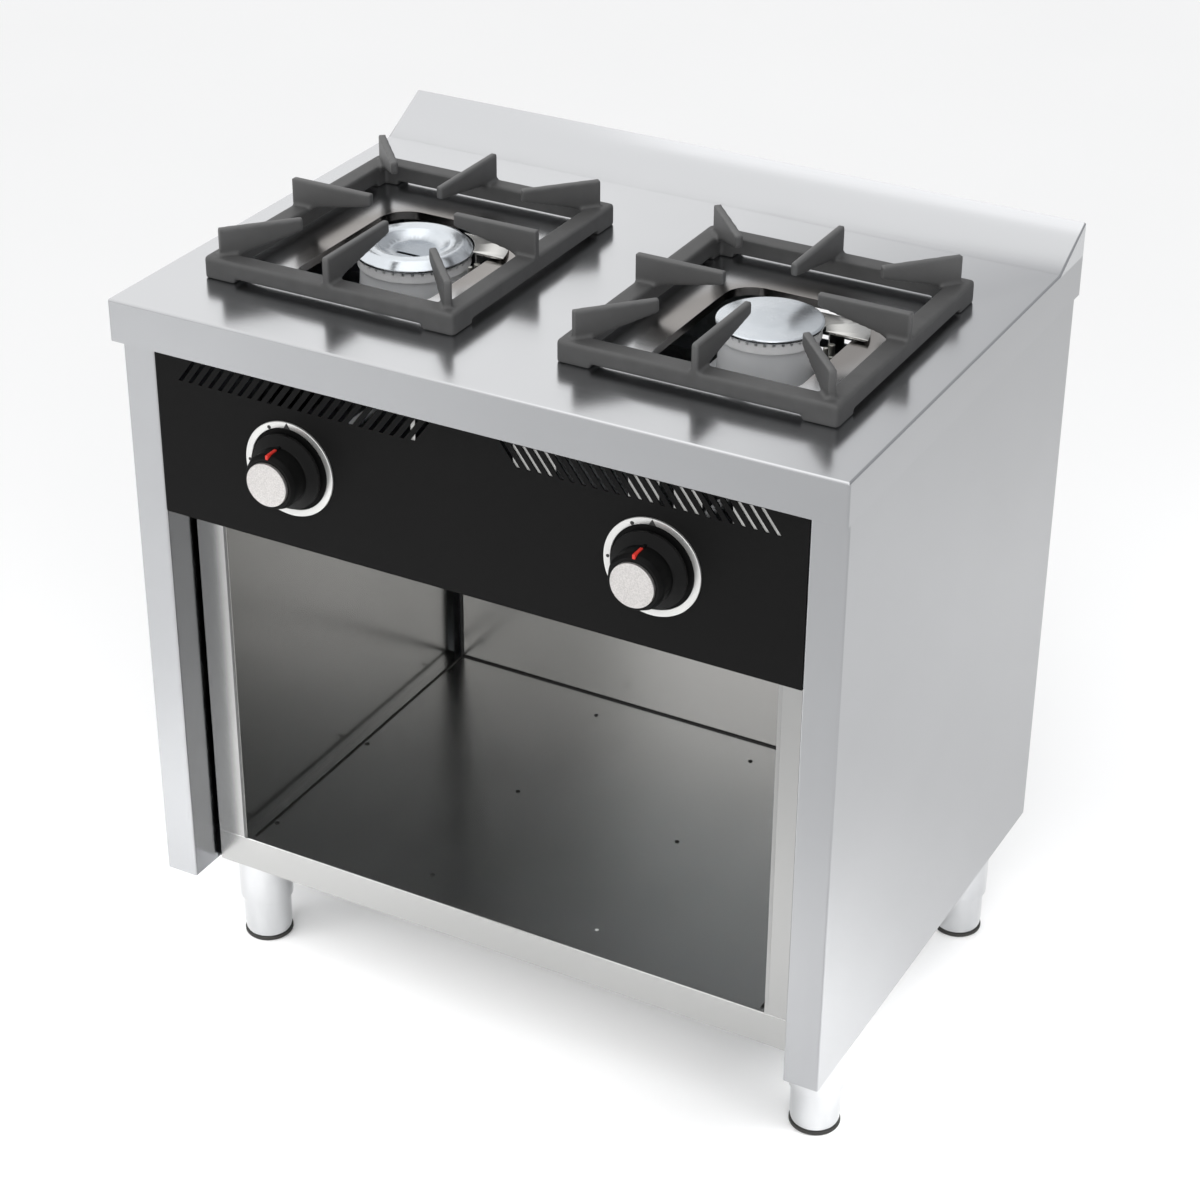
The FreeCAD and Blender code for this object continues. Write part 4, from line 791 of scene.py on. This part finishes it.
# ---------------------------------------------------------------- pilots
# A bright steel bracket beside each burner holds a small pilot burner and the probe that
# feels its flame. Its outer corner is cut off, and a curved sheet beside it shields the flame.
bracket_steel = brushed("bracket_steel", (900, 30, 900), "e0dfdc", "d0cfcb", 0.24)
corner_cut = Vector((0.0925, 0.018, 0))
corner_slant = (0.86, 0.51, 0)
shield_reach = 0.097
shield_gap = 0.001
shield_front = 0.017
shield_left = 0.012
shield_overhang = 0.003
shield_sheet = 0.001
for side in ("left", "right"):
    bracket = eased(f"{side}_pilot_bracket", bracket_steel)
    cap_low, cap_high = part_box(f"{side}_burner_cap")
    axis = (cap_low + cap_high) / 2
    inner = (cap_high.x - cap_low.x) / 2 + shield_gap
    bracket_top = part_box(f"{side}_pilot_bracket")[1]
    centre = Vector((axis.x, axis.y, bracket_top.z))
    alone(bracket)
    bpy.ops.object.mode_set(mode="EDIT")
    bpy.ops.mesh.select_all(action="SELECT")
    bpy.ops.mesh.bisect(plane_co=centre + corner_cut, plane_no=corner_slant,
                        clear_outer=True, use_fill=True)
    bpy.ops.object.mode_set(mode="OBJECT")
    bpy.ops.object.select_all(action="DESELECT")
    bpy.ops.mesh.primitive_circle_add(vertices=96, radius=inner, location=centre)
    shield = bpy.context.object
    shield.name = f"{side}_flame_shield"
    bpy.ops.object.transform_apply(location=True, rotation=True, scale=True)
    bpy.ops.object.mode_set(mode="EDIT")
    bpy.ops.mesh.select_all(action="SELECT")
    bpy.ops.mesh.extrude_region_move()
    growth = shield_reach / inner
    bpy.ops.transform.resize(value=(growth, growth, 1), center_override=centre)
    cuts = (
        ((0, axis.y + shield_front, 0), (0, -1, 0)),
        ((0, bracket_top.y + shield_overhang, 0), (0, 1, 0)),
        ((axis.x + shield_left, 0, 0), (-1, 0, 0)),
    )
    for cut, outward in cuts:
        bpy.ops.mesh.select_all(action="SELECT")
        bpy.ops.mesh.bisect(plane_co=cut, plane_no=outward, clear_outer=True)
    bpy.ops.mesh.select_all(action="SELECT")
    bpy.ops.mesh.normals_make_consistent(inside=False)
    bpy.ops.object.mode_set(mode="OBJECT")
    if shield.data.polygons[0].normal.z < 0:
        shield.data.flip_normals()
    thickness = shield.modifiers.new("sheet", "SOLIDIFY")
    thickness.thickness = shield_sheet
    thickness.offset = 1
    bpy.ops.object.modifier_apply(modifier="sheet")
    rim = shield.modifiers.new("edges", "BEVEL")
    rim.width = 0.0003
    rim.segments = 2
    rim.limit_method = "ANGLE"
    bpy.ops.object.modifier_apply(modifier="edges")
    bpy.ops.object.shade_smooth_by_angle(angle=math.radians(35))
    added(shield, "root", bracket_steel)
    for part in ("pilot_burner", "flame_probe"):
        eased(f"{side}_{part}", plating.material)


# ---------------------------------------------------------------- pan supports
# Heavy grates cast in one piece from grey iron: a square frame with fingers that reach in
# over the burner. Every edge is soft from the sand mould and the faces are finely pitted.
iron = Finish("cast_iron")
grit = iron.noise((850, 850, 850), 5.0)
swell = iron.noise((60, 60, 60), 3.0)
iron_z = iron.axis(iron.position(), 2)
frame_top = worktop_top + 0.015
finger_top = worktop_top + 0.051
# Painted highlight: the fingers are painted lighter from the frame's top up to their tips, and made a
# little smoother there.
painted_top_light = iron.ramp(iron_z, frame_top, finger_top)
iron_grey = iron.mix(swell, tint("494949"), tint("565656"))
iron.surface(
    Base_Color=iron.mix(0.35 * painted_top_light, iron_grey, tint("6e6e6e")),
    Metallic=0.25,
    Roughness=0.5 + 0.12 * grit - 0.08 * painted_top_light,
    Normal=iron.bump(0.7 * grit + 0.3 * swell, 0.00025, 0.5),
)
for side in ("left", "right"):
    grate = merged(f"{side}_pan_support")
    remesh = grate.modifiers.new("cast", "REMESH")
    remesh.mode = "VOXEL"
    remesh.voxel_size = 0.0017
    bpy.ops.object.modifier_apply(modifier="cast")
    smooth = grate.modifiers.new("soften", "SMOOTH")
    smooth.factor = 0.5
    smooth.iterations = 5
    bpy.ops.object.modifier_apply(modifier="soften")
    bpy.ops.object.shade_smooth()
    fitted(grate, f"{side}_pan_support", iron.material)
